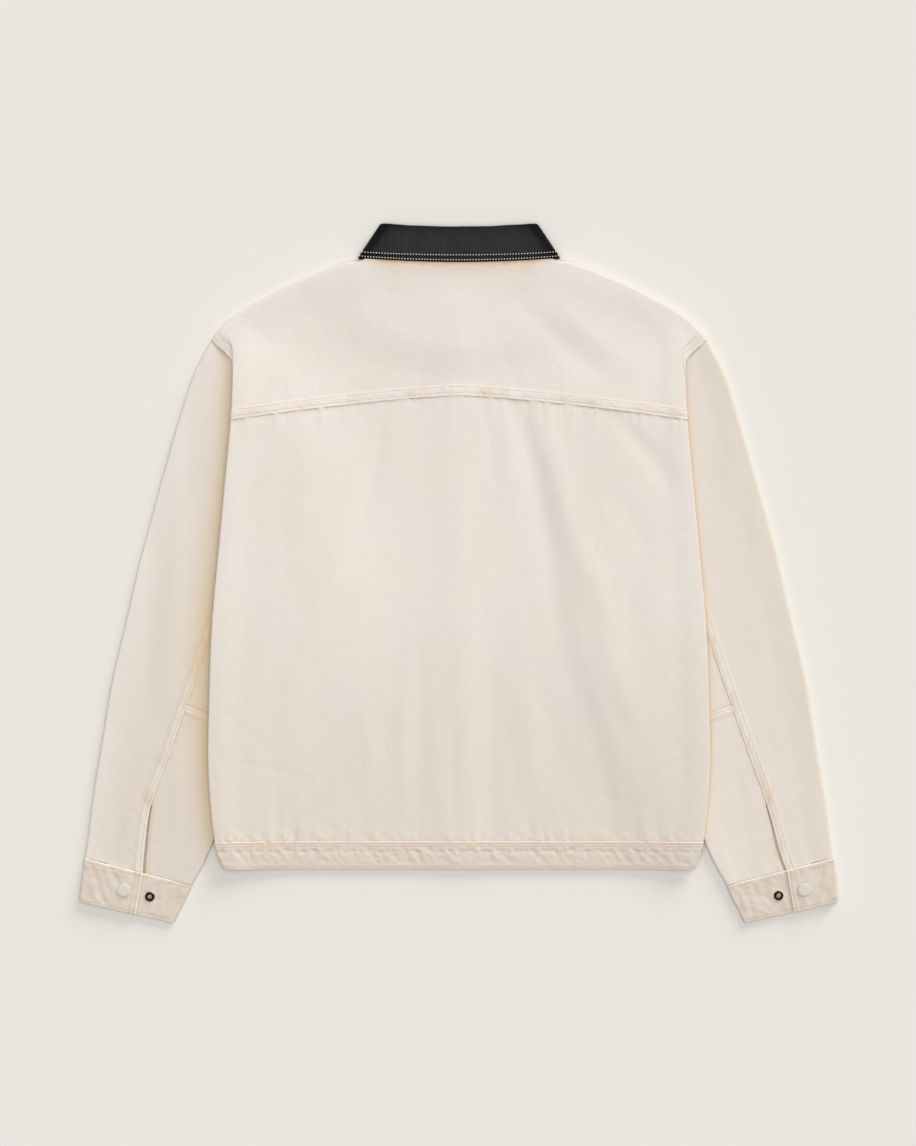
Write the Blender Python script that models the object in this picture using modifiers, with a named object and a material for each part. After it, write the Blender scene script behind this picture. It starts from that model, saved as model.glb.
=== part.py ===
"""A canvas chore jacket laid out flat on its front, with its back up and its collar folded down.

Tables and functions are in millimetres. Points become metres when a mesh is made. +Z is up, the collar
points along +Y, and the origin is on the ground under the middle of the jacket. The jacket is the same
on both sides of x = 0, apart from the fronts: the wearer's left front, at -X, laps over the right one.

The sleeves are turned down and lie on the ground. The body lies over them and comes down to the ground
between them, so every panel is a wall that follows one of two heights: the underside of the fronts,
or the upper face of the back.
"""
from collections import namedtuple
from math import cos, exp, hypot, pi, sin

import bmesh
import bpy
from mathutils import Vector

# ---- driving sizes, in millimetres ----
MM = 0.001
GAP = 0.3                  # between pieces that meet at a seam
HIDDEN_GAP = 2.4           # where the fronts meet a curved edge between two hidden layers
CLOTH = 1.3                # one layer of canvas
DOUBLE = 1.9               # a hem band, two layers
CUFF_WALL = 2.2            # a cuff, two layers and an interlining
FELL = 0.7                 # how far a felled seam stands up
FELL_WIDTH = 11.0

SLEEVE_FOLD = 3.3          # radius of the fold along a sleeve's edge
SLEEVE_SAG = 1.7           # a sleeve's middle lies this much lower than its folds
CAP_RISE = 24.4            # how far the armhole seam bows out of its straight line

LIFT = 7.1                 # how high a sleeve carries the body that lies over it
UNDER_RAMP = (44.0, 28.0)  # the fronts start to rise this far inside the sleeve's edge, over this width
TOP_RAMP = (68.0, 58.0)    # and so does the back
CAP_FADE = (250.0, 28.0)   # at the sleeve's top the lift fades out below this y, over this length
BODY_FOLD = 3.35
BODY_SAG = 2.0
SAG_REACH = 40.0           # distance from a fold at which a layer has sagged fully
SIDE_TURN = 10.0           # width of the back that turns under at each side
FRONT_LAP = 17.0           # each front passes the middle by this much
FRONT_LAP_RISE = 1.8       # the lapped fronts carry the back up by this much
FRONT_LAP_SPREAD = 26.0
LAP_LIFT = 2.2             # the right front lies this much over the left one
WING_TOP = 6.9             # height of the yoke where it steps down to the armhole
ARMHOLE_FOOT = 168.0       # where the armhole's edge leaves the side seam
ARMHOLE_RISE = 87.5
YOKE_SEAM_Y = 195.5        # the yoke's seam at the middle of the back
YOKE_SEAM_DROP = 26.5

HEM_Y = -324.5
HEM_SEAM_Y = -293.7
SHOULDER_COSINE = 0.89     # of the shoulder's slope
SHOULDER_FOLD_X = 262.0    # where the body's side fold starts on the shoulder's edge
ARMHOLE_X = 272.4          # where the armhole seam starts on the shoulder's edge

NECK_X = 97.0
NECK_BACK_Y = 348.0
NECK_FRONT_Y = 293.0
COLLAR_LEAF = 1.7          # the collar's front leaf carries the fronts up by this much
COLLAR_SPREAD = (115.0, 75.0, 330.0)   # half width, half depth and middle of the area that it lifts
NECK_FADE = 0.6
NECK_PUFF = 1.5
COLLAR_TOP = 11.5          # height of the fall's outer face at the back
COLLAR_ROLL = 2.4
COLLAR_ROLL_BACK = (0.0, 381.9)
COLLAR_EDGE_BACK = (0.0, 343.3)
COLLAR_ROLL_SIDE = (86.4, 385.0)
COLLAR_EDGE_SIDE = (112.3, 347.0)
COLLAR_ROLL_FRONT = (10.0, 300.0)
COLLAR_EDGE_FRONT = (55.0, 268.0)
STAND_BACK = 33.0
STAND_FRONT = 6.0

CUFF_TOP_Z = 8.2           # outer face of the cuff's upper end
CUFF_LOW_Z = 5.6           # outer face of the end that lies under it
CUFF_END_AT = 25.0         # the lower end's edge, from the outer fold
SLIT = 2.4                 # half open at the sleeve's slit
SLIT_ROW = 7.8             # the sleeve row where the slit starts
CROSS_FELL = 0.26          # the cross seam's felled strip, in rows

# The two wrists lie a little unlike each other: how far in from the outer fold the upper end of the
# cuff has its edge, at the seam and at the hem, how far the sleeve's back seam strays inwards there,
# and where the snap's two halves sit.
Wrist = namedtuple("Wrist", "lap_at seam_stray cap_at stud_at")
WRISTS = {
    -1.0: Wrist((66.5, 64.0), 6.4, (368.3, -347.5), (339.8, -354.6)),
    1.0: Wrist((53.4, 50.8), -6.3, (379.2, -346.8), (351.1, -353.5)),
}

# The body's side fold, from the hem up to the shoulder.
Side = namedtuple("Side", "y x")
SIDES = (
    Side(-324.5, 258.8),
    Side(-293.7, 268.3),
    Side(-217.8, 275.1),
    Side(-150.7, 274.8),
    Side(-59.4, 271.5),
    Side(15.4, 264.8),
    Side(148.5, 252.5),
    Side(190.0, 249.4),
    Side(257.4, 248.3),
)

# The shoulder's edge, from the neck out to the armhole.
Shoulder = namedtuple("Shoulder", "x y")
SHOULDERS = (
    Shoulder(97.0, 348.5),
    Shoulder(112.0, 343.5),
    Shoulder(124.3, 342.0),
    Shoulder(156.2, 330.0),
    Shoulder(187.6, 316.8),
    Shoulder(212.9, 303.6),
    Shoulder(236.5, 290.4),
    Shoulder(254.7, 277.2),
    Shoulder(267.3, 264.0),
    Shoulder(276.0, 252.0),
)

# Rows across the sleeve, from the armhole (0) to the cuff (10): the fold at its outer edge, the fold
# at its inner edge, and where its back seam lies between them.
SleeveRow = namedtuple("SleeveRow", "row outer_x outer_y inner_x inner_y seam")
SLEEVE = (
    SleeveRow(0, 273.4, 254.4, 196.0, 122.0, 0.65),
    SleeveRow(1, 291.5, 218.9, 187.0, 80.0, 0.63),
    SleeveRow(2, 307.5, 169.4, 178.0, 35.0, 0.60),
    SleeveRow(3, 331.0, 87.0, 170.0, -15.0, 0.566),
    SleeveRow(4, 349.0, 21.0, 172.0, -66.0, 0.515),
    SleeveRow(5, 364.0, -45.0, 188.0, -118.0, 0.493),
    SleeveRow(6, 379.5, -111.0, 215.0, -172.0, 0.497),
    SleeveRow(7, 390.5, -177.0, 240.0, -225.0, 0.479),
    SleeveRow(8, 401.5, -243.0, 263.0, -279.0, 0.448),
    SleeveRow(9, 408.0, -292.6, 281.0, -318.0, 0.467),
    SleeveRow(10, 411.2, -312.8, 295.1, -343.0, 0.495),
)
CROSS_SEAM_ROW = 6.05
UNDER_SEAM = 0.78          # the seam on the sleeve's underside, between its folds

CUFF_START = (411.6, -313.4, 294.7, -343.6)   # outer and inner fold at the seam
CUFF_FINISH = (417.2, -360.4, 314.3, -384.0)  # and at the cuff's edge

# The largest soft folds of the back: a trough from its start to its end.
Fold = namedtuple("Fold", "x0 y0 x1 y1 width depth")
FOLDS = (
    Fold(-4, -20, -4, -292, 9, 0.7),
    Fold(-36, -100, -40, -262, 11, 0.9),
    Fold(-86, -40, -92, -235, 13, 0.7),
    Fold(36, -60, 42, -262, 10, 0.8),
    Fold(96, 160, 140, -30, 16, 0.8),
    Fold(122, -30, 165, -230, 20, 1.0),
    Fold(205, 110, 200, -60, 22, 1.0),
    Fold(-118, 165, -158, -40, 16, 0.8),
    Fold(-205, 60, -190, -180, 20, 0.7),
)

# ---- finishes: name, colour, roughness, metallic ----
Finish = namedtuple("Finish", "name colour roughness metallic")
CANVAS = Finish("canvas", (0.80, 0.74, 0.66, 1.0), 0.92, 0.0)
CORDUROY = Finish("corduroy", (0.020, 0.020, 0.021, 1.0), 0.95, 0.0)
ENAMEL = Finish("enamel", (0.72, 0.68, 0.62, 1.0), 0.35, 0.0)
BRASS = Finish("brass", (0.22, 0.15, 0.10, 1.0), 0.40, 1.0)


# ---- small helpers ----
def ease(t):
    """0 to 1 with a soft start and end."""
    t = min(max(t, 0.0), 1.0)
    return t * t * (3.0 - 2.0 * t)


def mix(a, b, t):
    return a + (b - a) * t


def read(table, key, column, at):
    """A column of a table as a smooth curve over its key column, which rises from row to row."""
    keys = [getattr(row, key) for row in table]
    values = [getattr(row, column) for row in table]
    if at <= keys[0]:
        return values[0]
    if at >= keys[-1]:
        return values[-1]
    low = max(i for i in range(len(keys) - 1) if keys[i] <= at)

    def slope(i):
        before = max(i - 1, 0)
        after = min(i + 1, len(keys) - 1)
        return (values[after] - values[before]) / (keys[after] - keys[before])

    step = keys[low + 1] - keys[low]
    t = (at - keys[low]) / step
    rise = values[low + 1] - values[low]
    start = slope(low) * step
    end = slope(low + 1) * step
    return values[low] + t * start + t * t * (3 * rise - 2 * start - end) + t ** 3 * (start + end - 2 * rise)


# ---- outlines in plan ----
def side_edge(y):
    return read(SIDES, "y", "x", y)


def shoulder_edge(x):
    return read(SHOULDERS, "x", "y", x)


def yoke_seam(c):
    """Height of the yoke's seam on the back, c of the way from the middle to the side."""
    return YOKE_SEAM_Y - YOKE_SEAM_DROP * c ** 1.4


def armhole_x(y):
    """The edge of the body that turns under: the side seam, and higher up the armhole."""
    turned = side_edge(y) - SIDE_TURN
    climb = min(max((y - ARMHOLE_FOOT) / ARMHOLE_RISE, 0.0), 1.0)
    return turned + (ARMHOLE_X - side_edge(257.0) + SIDE_TURN) * climb ** 4


def sleeve_row(row):
    """Outer fold, inner fold and seam of the sleeve at a row number, which may lie between rows."""
    outer = Vector((read(SLEEVE, "row", "outer_x", row), read(SLEEVE, "row", "outer_y", row)))
    inner = Vector((read(SLEEVE, "row", "inner_x", row), read(SLEEVE, "row", "inner_y", row)))
    return outer, inner, read(SLEEVE, "row", "seam", row)


def sleeve_plan(row, reach):
    """Point of the sleeve in plan, reach of the way from its outer to its inner fold."""
    outer, inner, _ = sleeve_row(row)
    bow = CAP_RISE * sin(pi * reach) * max(1.0 - row, 0.0) ** 1.5
    return outer.lerp(inner, reach) + Vector((0.0, bow))


Tuck = namedtuple("Tuck", "y x")


def tucked_edge():
    """The sleeve's edge under the body, from its end below the hem up to the shoulder."""
    points = [sleeve_row(row)[1] for row in range(10, 0, -1)]
    points += [sleeve_plan(0, reach) for reach in (1.0, 0.8, 0.6, 0.4, 0.2, 0.0)]
    return [Tuck(point.y, point.x) for point in points]


TUCKED = tucked_edge()


# ---- heights ----
def over_sleeve(x, y, ramp):
    """How far a layer is carried up by the sleeve under it, 0 to 1."""
    start, width = ramp
    top, fade = CAP_FADE
    inside = abs(x) - read(TUCKED, "y", "x", y)
    return ease((inside + start) / width) * ease((top - y) / fade)


def near_neck(x, y):
    half_width, half_depth, middle = COLLAR_SPREAD
    reach = hypot(x / half_width, (y - middle) / half_depth)
    return ease(1.0 + (1.0 - reach) / NECK_FADE)


def under_height(x, y):
    """Underside of the fronts."""
    return LIFT * over_sleeve(x, y, UNDER_RAMP) + COLLAR_LEAF * near_neck(x, y)


def soft_folds(x, y):
    depth = 0.0
    for fold in FOLDS:
        run = Vector((fold.x1 - fold.x0, fold.y1 - fold.y0))
        away = Vector((x - fold.x0, y - fold.y0))
        t = away.dot(run) / run.length_squared
        off = (away - run * t).length / fold.width
        depth += fold.depth * exp(-off * off) * ease(t * 4.0 + 0.5) * ease((1.0 - t) * 4.0 + 0.5)
    return depth


def top_height(x, y):
    """Upper face of the back."""
    x_off = abs(x)
    to_side = side_edge(y) - x_off
    to_shoulder = SHOULDER_COSINE * (shoulder_edge(x_off) - y)
    from_fold = min(to_side, to_shoulder)
    sag = BODY_SAG * ease(from_fold / SAG_REACH)
    lap = FRONT_LAP_RISE * exp(-(x / FRONT_LAP_SPREAD) ** 2) * ease((COLLAR_SPREAD[2] - y) / SAG_REACH)
    neck = near_neck(x, y)
    height = LIFT * over_sleeve(x, y, TOP_RAMP) + 2.0 * BODY_FOLD - sag + lap
    height += (COLLAR_LEAF + NECK_PUFF) * neck
    return height - soft_folds(x, y) * ease(from_fold / SAG_REACH)


# ---- mesh making ----
def finish_material(finish):
    material = bpy.data.materials.get(finish.name) or bpy.data.materials.new(finish.name)
    material.use_nodes = True
    shader = material.node_tree.nodes["Principled BSDF"]
    shader.inputs["Base Color"].default_value = finish.colour
    shader.inputs["Roughness"].default_value = finish.roughness
    shader.inputs["Metallic"].default_value = finish.metallic
    return material


def add_object(name, mesh, finish):
    piece = bpy.data.objects.new(name, mesh)
    jacket.objects.link(piece)
    mesh.materials.append(finish_material(finish))
    mesh.shade_smooth()
    return piece


def cloth_panel(name, columns, rows, surface, outward, wall=CLOTH, finish=CANVAS):
    """A grid whose points are placed on the cloth's outer face, thickened inwards.

    `surface` takes a column and a row value, and `outward` is the way its first face looks.
    """
    shape = bmesh.new()
    bmesh.ops.create_grid(shape, x_segments=len(columns) - 1, y_segments=len(rows) - 1, size=0.5)
    for vert in shape.verts:
        column = columns[round((vert.co.x + 0.5) * (len(columns) - 1))]
        row = rows[round((vert.co.y + 0.5) * (len(rows) - 1))]
        vert.co = Vector(surface(column, row)) * MM
    shape.normal_update()
    shape.faces.ensure_lookup_table()
    if shape.faces[0].normal.dot(Vector(outward)) < 0.0:
        bmesh.ops.reverse_faces(shape, faces=shape.faces)
    mesh = bpy.data.meshes.new(name)
    shape.to_mesh(mesh)
    shape.free()
    piece = add_object(name, mesh, finish)
    thickness = piece.modifiers.new("wall", "SOLIDIFY")
    thickness.thickness = wall * MM
    thickness.offset = -1.0
    return piece


def both_ways(stops):
    """Stops from the middle outwards, and the same ones on the other side before them."""
    return [-stop for stop in reversed(stops) if stop > 0.0] + list(stops)


# ---- body ----
def turned_side(turn, fold_x, top_z, low_z, end_x):
    """Section where the cloth turns over the side fold: turn runs from 0, on top, to 1, at its edge."""
    radius = (top_z - low_z) / 2.0
    if turn <= 0.5:
        angle = turn * pi
        return fold_x - radius + radius * sin(angle), top_z - radius + radius * cos(angle)
    t = (turn - 0.5) * 2.0
    start = (fold_x, top_z - radius)
    first = (fold_x, top_z - 1.75 * radius)
    second = (mix(fold_x, end_x, 0.35), low_z)
    end = (end_x, low_z)
    parts = ((1 - t) ** 3, 3 * t * (1 - t) ** 2, 3 * t * t * (1 - t), t ** 3)
    points = (start, first, second, end)
    return tuple(sum(part * point[axis] for part, point in zip(parts, points)) for axis in (0, 1))


def back_surface(low_y, high_y, proud):
    """The back below the yoke, as a function of column (-2 to 2) and row (0 to 1)."""
    def surface(column, row):
        side = -1.0 if column < 0.0 else 1.0
        across = min(abs(column), 1.0)
        y = mix(low_y, high_y(across), row)
        fold_x = side_edge(y) + proud / 2.0
        end_x = side_edge(y) - SIDE_TURN
        low_z = under_height(end_x, y)
        top_z = top_height(fold_x - BODY_FOLD, y) + proud
        radius = (top_z - low_z) / 2.0
        if abs(column) > 1.0:
            x, z = turned_side(abs(column) - 1.0, fold_x, top_z, low_z, end_x)
        else:
            x = across * (fold_x - radius)
            z = mix(top_height(side * x, y) + proud, top_z, ease((across - 0.9) * 10.0))
        return side * x, y, z
    return surface


def shoulder_rim(x):
    """Where a panel meets the shoulder fold or the back neck: plan point, way out, and turn (0 or 1)."""
    turned = ease((x - NECK_X + 5.0) / 14.0)
    if x < NECK_X:
        point = Vector((x, NECK_BACK_Y + 0.5 * (x / NECK_X) ** 2))
    else:
        point = Vector((x, shoulder_edge(x)))
    rise = (shoulder_edge(x + 2.0) - shoulder_edge(x - 2.0)) / 4.0
    outward = Vector((-rise, 1.0)).normalized() if x >= NECK_X else Vector((0.0, 1.0))
    return point, outward, turned


Rim = namedtuple("Rim", "base outward turned radius top low")


def shoulder_fold(x, turn):
    """The shoulder's fold at x: where it starts in plan, its way out, how far it turns and its heights.

    turn runs from 0 at the body's side fold to 1 at the armhole, where the yoke has stepped down.
    """
    point, outward, turned = shoulder_rim(x)
    inset = point - outward * BODY_FOLD * turned
    top = mix(top_height(inset.x, inset.y), WING_TOP, turn)
    low = under_height(inset.x, inset.y)
    radius = (top - low) / 2.0
    return Rim(point - outward * radius * turned, outward, turned, radius, top, low)


def wing_turn(x):
    return min(max((x - SHOULDER_FOLD_X) / (ARMHOLE_X - SHOULDER_FOLD_X), 0.0), 1.0)


def rim_pull(row, across, turn):
    """How far a row near the top follows the shoulder's edge instead of the side's."""
    return row ** mix(mix(6.0, 12.0, across), 80.0, turn)


def yoke_surface(column, row):
    """The yoke: column -2 to 2 as on the back, row 0 to 1 up to the shoulder, then over its fold."""
    side = -1.0 if column < 0.0 else 1.0
    across = min(abs(column), 1.0)
    turn = max(abs(column) - 1.0, 0.0)
    edge_x = across * SHOULDER_FOLD_X + turn * (ARMHOLE_X - SHOULDER_FOLD_X)
    rim = shoulder_fold(edge_x, turn)
    if row > 1.0:
        swing = rim.turned * pi * (row - 1.0)
        flat = (1.0 - rim.turned) * 2.5 * (row - 1.0)
        plan = rim.base + rim.outward * (rim.radius * sin(swing) + flat)
        return side * plan.x, plan.y, rim.top - rim.radius * (1.0 - cos(swing))
    y = mix(yoke_seam(across) + GAP, rim.base.y, row)
    fold_x = side_edge(y)
    top_z = top_height(fold_x - BODY_FOLD, y)
    end_x = armhole_x(y)
    low_z = max(under_height(end_x, y), WING_TOP)
    radius = (top_z - low_z) / 2.0
    if turn > 0.0:
        x, z = turned_side(turn, fold_x, top_z, low_z, end_x)
    else:
        x = across * (fold_x - radius)
        z = mix(top_height(side * x, y), top_z, ease((across - 0.9) * 10.0))
        z += FELL * ease((FELL_WIDTH + 2.0 - (y - yoke_seam(across))) / 2.0)
    pull = rim_pull(row, across, turn)
    return side * mix(x, rim.base.x, pull), y, mix(z, rim.top, pull)


def front_surface(side, lap):
    """A front: column 0 at its closing edge to 1 at the side, row 0 at the hem seam to 1 at the top."""
    def surface(column, row):
        edge_x = mix(-FRONT_LAP, ARMHOLE_X, column)
        rim = shoulder_fold(max(edge_x, NECK_X), wing_turn(edge_x))
        top = rim.base - rim.outward * HIDDEN_GAP
        if edge_x < NECK_X:
            top = Vector((edge_x, mix(NECK_FRONT_Y, top.y, (max(edge_x, 0.0) / NECK_X) ** 2.4)))
        y = mix(HEM_SEAM_Y + GAP, top.y, row)
        inset = mix(GAP, HIDDEN_GAP, ease((y - 100.0) / 40.0))
        x = mix(-FRONT_LAP, armhole_x(y) - inset, column)
        x = mix(x, top.x, rim_pull(row, column, 1.0))
        z = under_height(x, y) + lap * ease((FRONT_LAP + 9.0 - x) / 6.0)
        return side * x, y, z
    return surface


def hem_front_surface(side, lap):
    def surface(column, row):
        y = mix(HEM_Y, HEM_SEAM_Y, row)
        x = mix(-FRONT_LAP, side_edge(y) - SIDE_TURN - GAP, column)
        return side * x, y, under_height(x, y) + lap * ease((FRONT_LAP + 9.0 - x) / 6.0)
    return surface


# ---- collar ----
def collar_surface(station, profile):
    """The collar: station 0 at the middle of the back, 1 to 2 round the neck's side, 3 at the front end.

    Its profile runs from the fall's edge (0) up to the roll (1), round it (2) and down the stand (3).
    """
    side = -1.0 if station < 0.0 else 1.0
    place = abs(station)
    roll_side = Vector(COLLAR_ROLL_SIDE)
    edge_side = Vector(COLLAR_EDGE_SIDE)
    along = (edge_side - roll_side).normalized()
    outward = Vector((-along.y, along.x))
    half = COLLAR_TOP / 2.0
    roll_turn = roll_side - outward * half
    edge_turn = edge_side - outward * half
    swing = pi * min(max(place - 1.0, 0.0), 1.0)
    if place < 1.0:
        roll = Vector((roll_turn.x * place, mix(COLLAR_ROLL_BACK[1], roll_turn.y, place ** 2)))
        edge = Vector((edge_turn.x * place, mix(COLLAR_EDGE_BACK[1], edge_turn.y, place ** 2)))
        stand = STAND_BACK
    elif place <= 2.0:
        roll, edge, stand = roll_turn, edge_turn, STAND_BACK
    else:
        roll = roll_turn.lerp(Vector(COLLAR_ROLL_FRONT), place - 2.0)
        edge = edge_turn.lerp(Vector(COLLAR_EDGE_FRONT), place - 2.0)
        stand = mix(STAND_BACK, STAND_FRONT, place - 2.0)
    down = (edge - roll).normalized().to_3d()
    out = outward.to_3d() * sin(swing) + Vector((0.0, 0.0, cos(swing)))
    if profile <= 1.0:
        run, depth = mix((edge - roll).length, COLLAR_ROLL, profile), 0.0
    elif profile <= 2.0:
        angle = pi * (profile - 1.0)
        run = COLLAR_ROLL * (1.0 - sin(angle))
        depth = COLLAR_ROLL * (1.0 - cos(angle))
    else:
        run, depth = mix(COLLAR_ROLL, stand, profile - 2.0), 2.0 * COLLAR_ROLL
    middle = roll.to_3d() + Vector((0.0, 0.0, half))
    point = middle + out * (half - depth) + down * run
    return side * point.x, point.y, point.z


# ---- sleeves ----
def sleeve_point(row, reach, width, height):
    plan = sleeve_plan(row, reach / width)
    return plan.x, plan.y, height


def sleeve_section(row, turn):
    """Round the sleeve at a row: turn 0 to 1 over its top from the outer to the inner fold, then
    1 to 2 round that fold, 2 to 3 back along the ground and 3 to 4 round the outer fold."""
    outer, inner, _ = sleeve_row(row)
    width = (inner - outer).length
    radius = SLEEVE_FOLD
    turn = turn % 4.0
    if turn <= 1.0:
        reach = mix(radius, width - radius, turn)
        low = ease(min(reach, width - reach) / 32.0) - ease(radius / 32.0)
        return sleeve_point(row, reach, width, 2.0 * radius - SLEEVE_SAG * low)
    if turn <= 2.0:
        angle = pi * (turn - 1.0)
        return sleeve_point(row, width - radius + radius * sin(angle), width, radius * (1.0 + cos(angle)))
    if turn <= 3.0:
        return sleeve_point(row, mix(width - radius, radius, turn - 2.0), width, 0.0)
    angle = pi * (turn - 3.0)
    return sleeve_point(row, radius - radius * sin(angle), width, radius * (1.0 - cos(angle)))


def seam_at(side, row):
    """How far in from the outer fold the back seam lies."""
    outer, inner, seam = sleeve_row(row)
    return seam * (inner - outer).length + WRISTS[side].seam_stray * max(row - 8.0, 0.0) / 2.0


def seam_turn(side, row, offset):
    """The back seam's place in a section, moved by an offset across the sleeve."""
    outer, inner, _ = sleeve_row(row)
    width = (inner - outer).length
    return (seam_at(side, row) + offset - SLEEVE_FOLD) / (width - 2.0 * SLEEVE_FOLD)


def under_turn(row, offset):
    """The underside seam's place in a section."""
    outer, inner, _ = sleeve_row(row)
    width = (inner - outer).length
    return 2.0 + (width - UNDER_SEAM * width - offset - SLEEVE_FOLD) / (width - 2.0 * SLEEVE_FOLD)


def slit_open(row):
    return SLIT * ease((row - SLIT_ROW) * 1.5)


def top_sleeve(side):
    """Column 0 at the back seam, 1 at the start of the outer fold, 2 after it, 3 at the underside seam."""
    def surface(column, row):
        seam = seam_turn(side, row, -GAP / 2.0)
        if column <= 1.0:
            turn = mix(seam, 0.0, column)
        elif column <= 2.0:
            turn = 5.0 - column
        else:
            turn = mix(3.0, under_turn(row, -GAP / 2.0), column - 2.0)
        x, y, z = sleeve_section(row, turn)
        if column < 1.0:
            width = (sleeve_row(row)[0] - sleeve_row(row)[1]).length
            z += FELL * ease((FELL_WIDTH + 2.0 - column * seam * width) / 2.0)
        return side * x, y, z
    return surface


def under_sleeve(side, lapped_row):
    """Column 0 at the back seam, 1 at the start of the inner fold, 2 after it, 3 at the underside seam."""
    def surface(column, row):
        seam = seam_turn(side, row, GAP / 2.0 + slit_open(row))
        if column <= 1.0:
            turn = mix(seam, 1.0, column)
        elif column <= 2.0:
            turn = column
        else:
            turn = mix(2.0, under_turn(row, GAP / 2.0), column - 2.0)
        x, y, z = sleeve_section(row, turn)
        if column < 1.0 and lapped_row is not None:
            z += FELL * ease((lapped_row + CROSS_FELL - row) * 20.0) * ease((1.0 - column) * 4.0)
        return side * x, y, z
    return surface


def cuff(side):
    """A band whose upper end, column 0, laps over its lower end, column 5."""
    def surface(column, row):
        start = Vector(CUFF_START)
        finish = Vector(CUFF_FINISH)
        line = start.lerp(finish, row)
        outer = Vector((line[0], line[1]))
        inner = Vector((line[2], line[3]))
        width = (inner - outer).length
        big = CUFF_TOP_Z / 2.0
        small = CUFF_LOW_Z / 2.0
        if column <= 1.0:
            reach, z = mix(mix(*WRISTS[side].lap_at, row), big, column), CUFF_TOP_Z
        elif column <= 2.0:
            angle = pi * (column - 1.0)
            reach, z = big * (1.0 - sin(angle)), big * (1.0 + cos(angle))
        elif column <= 3.0:
            reach, z = mix(big, width - small, column - 2.0), 0.0
        elif column <= 4.0:
            angle = pi * (column - 3.0)
            reach, z = width - small * (1.0 - sin(angle)), small * (1.0 - cos(angle))
        else:
            reach, z = mix(width - small, CUFF_END_AT, column - 4.0), CUFF_LOW_Z
        plan = outer.lerp(inner, reach / width)
        return side * plan.x, plan.y, z
    return surface


# ---- snaps ----
def turned_snap(name, profile, place, height, finish):
    """A snap part turned about its own axis from a profile of radius and height, top to bottom."""
    mesh = bpy.data.meshes.new(name)
    points = [(radius * MM, 0.0, z * MM) for radius, z in profile]
    mesh.from_pydata(points, [(i, i + 1) for i in range(len(points) - 1)], [])
    piece = add_object(name, mesh, finish)
    piece.location = (place[0] * MM, place[1] * MM, height * MM)
    screw = piece.modifiers.new("turn", "SCREW")
    screw.steps = 20
    screw.render_steps = 20
    screw.use_merge_vertices = True
    screw.merge_threshold = 0.00001
    return piece


CAP_PROFILE = ((0.0, 1.9), (4.4, 1.75), (6.5, 1.2), (7.4, 0.45), (7.2, 0.0), (0.0, 0.0))
STUD_PROFILE = ((0.0, 1.2), (2.6, 1.2), (3.3, 1.8), (4.9, 1.8), (5.75, 1.0), (5.75, 0.0), (0.0, 0.0))

# ---- the jacket ----
for old in list(bpy.data.objects):
    bpy.data.objects.remove(old)
jacket = bpy.data.collections.new("chore_jacket")
bpy.context.scene.collection.children.link(jacket)

UP = (0.0, 0.0, 1.0)
DOWN = (0.0, 0.0, -1.0)
ACROSS = both_ways([0.0, 0.1, 0.2, 0.3, 0.4, 0.5, 0.6, 0.7, 0.79, 0.87, 0.94, 1.0,
                    1.17, 1.33, 1.5, 1.7, 1.85, 2.0])
BACK_ROWS = (0.0, 0.03, 0.08, 0.14, 0.21, 0.3, 0.4, 0.5, 0.6, 0.7, 0.8, 0.9, 1.0)
YOKE_ROWS = (0.0, 0.085, 0.11, 0.25, 0.4, 0.55, 0.68, 0.8, 0.9, 1.0, 1.25, 1.5, 1.75, 2.0)
FRONT_COLUMNS = (0.0, 0.09, 0.12, 0.145, 0.22, 0.29, 0.36, 0.45, 0.53, 0.6, 0.67, 0.74,
                 0.8, 0.86, 0.92, 0.97, 1.0)
FRONT_ROWS = (0.0, 0.03, 0.07, 0.13, 0.2, 0.28, 0.36, 0.44, 0.52, 0.6, 0.68, 0.76, 0.83,
              0.89, 0.93, 0.955, 0.98, 1.0)
SLEEVE_ROWS = (0.0, 0.4, 0.8, 1.4, 2.0, 3.0, 4.0, 5.0, 6.05, 7.0, 7.7, 8.2, 8.7, 9.3, 10.0)
FOLD_STOPS = (1.0, 1.2, 1.4, 1.6, 1.8)

cloth_panel("back_panel", ACROSS, BACK_ROWS, back_surface(HEM_SEAM_Y + 2.0 * GAP, yoke_seam, 0.0), DOWN)
cloth_panel("hem_back", ACROSS, (0.0, 0.5, 1.0),
            back_surface(HEM_Y, lambda across: HEM_SEAM_Y, FELL), DOWN, wall=DOUBLE)
cloth_panel("back_yoke", ACROSS, YOKE_ROWS, yoke_surface, DOWN)

for side, name, lap in ((-1.0, "left", 0.0), (1.0, "right", LAP_LIFT)):
    cloth_panel(f"front_{name}", FRONT_COLUMNS, FRONT_ROWS, front_surface(side, lap), DOWN)
    cloth_panel(f"hem_front_{name}", FRONT_COLUMNS, (0.0, 0.5, 1.0),
                hem_front_surface(side, lap), DOWN, wall=DOUBLE)

stations = both_ways([0.0, 0.25, 0.5, 0.75, 1.0, 1.17, 1.33, 1.5, 1.67, 1.83, 2.0, 2.33, 2.67, 3.0])
cloth_panel("collar", stations, (0.0, 0.5, 1.0, 1.25, 1.5, 1.75, 2.0, 2.5, 3.0),
            collar_surface, DOWN, finish=CORDUROY)

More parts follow.
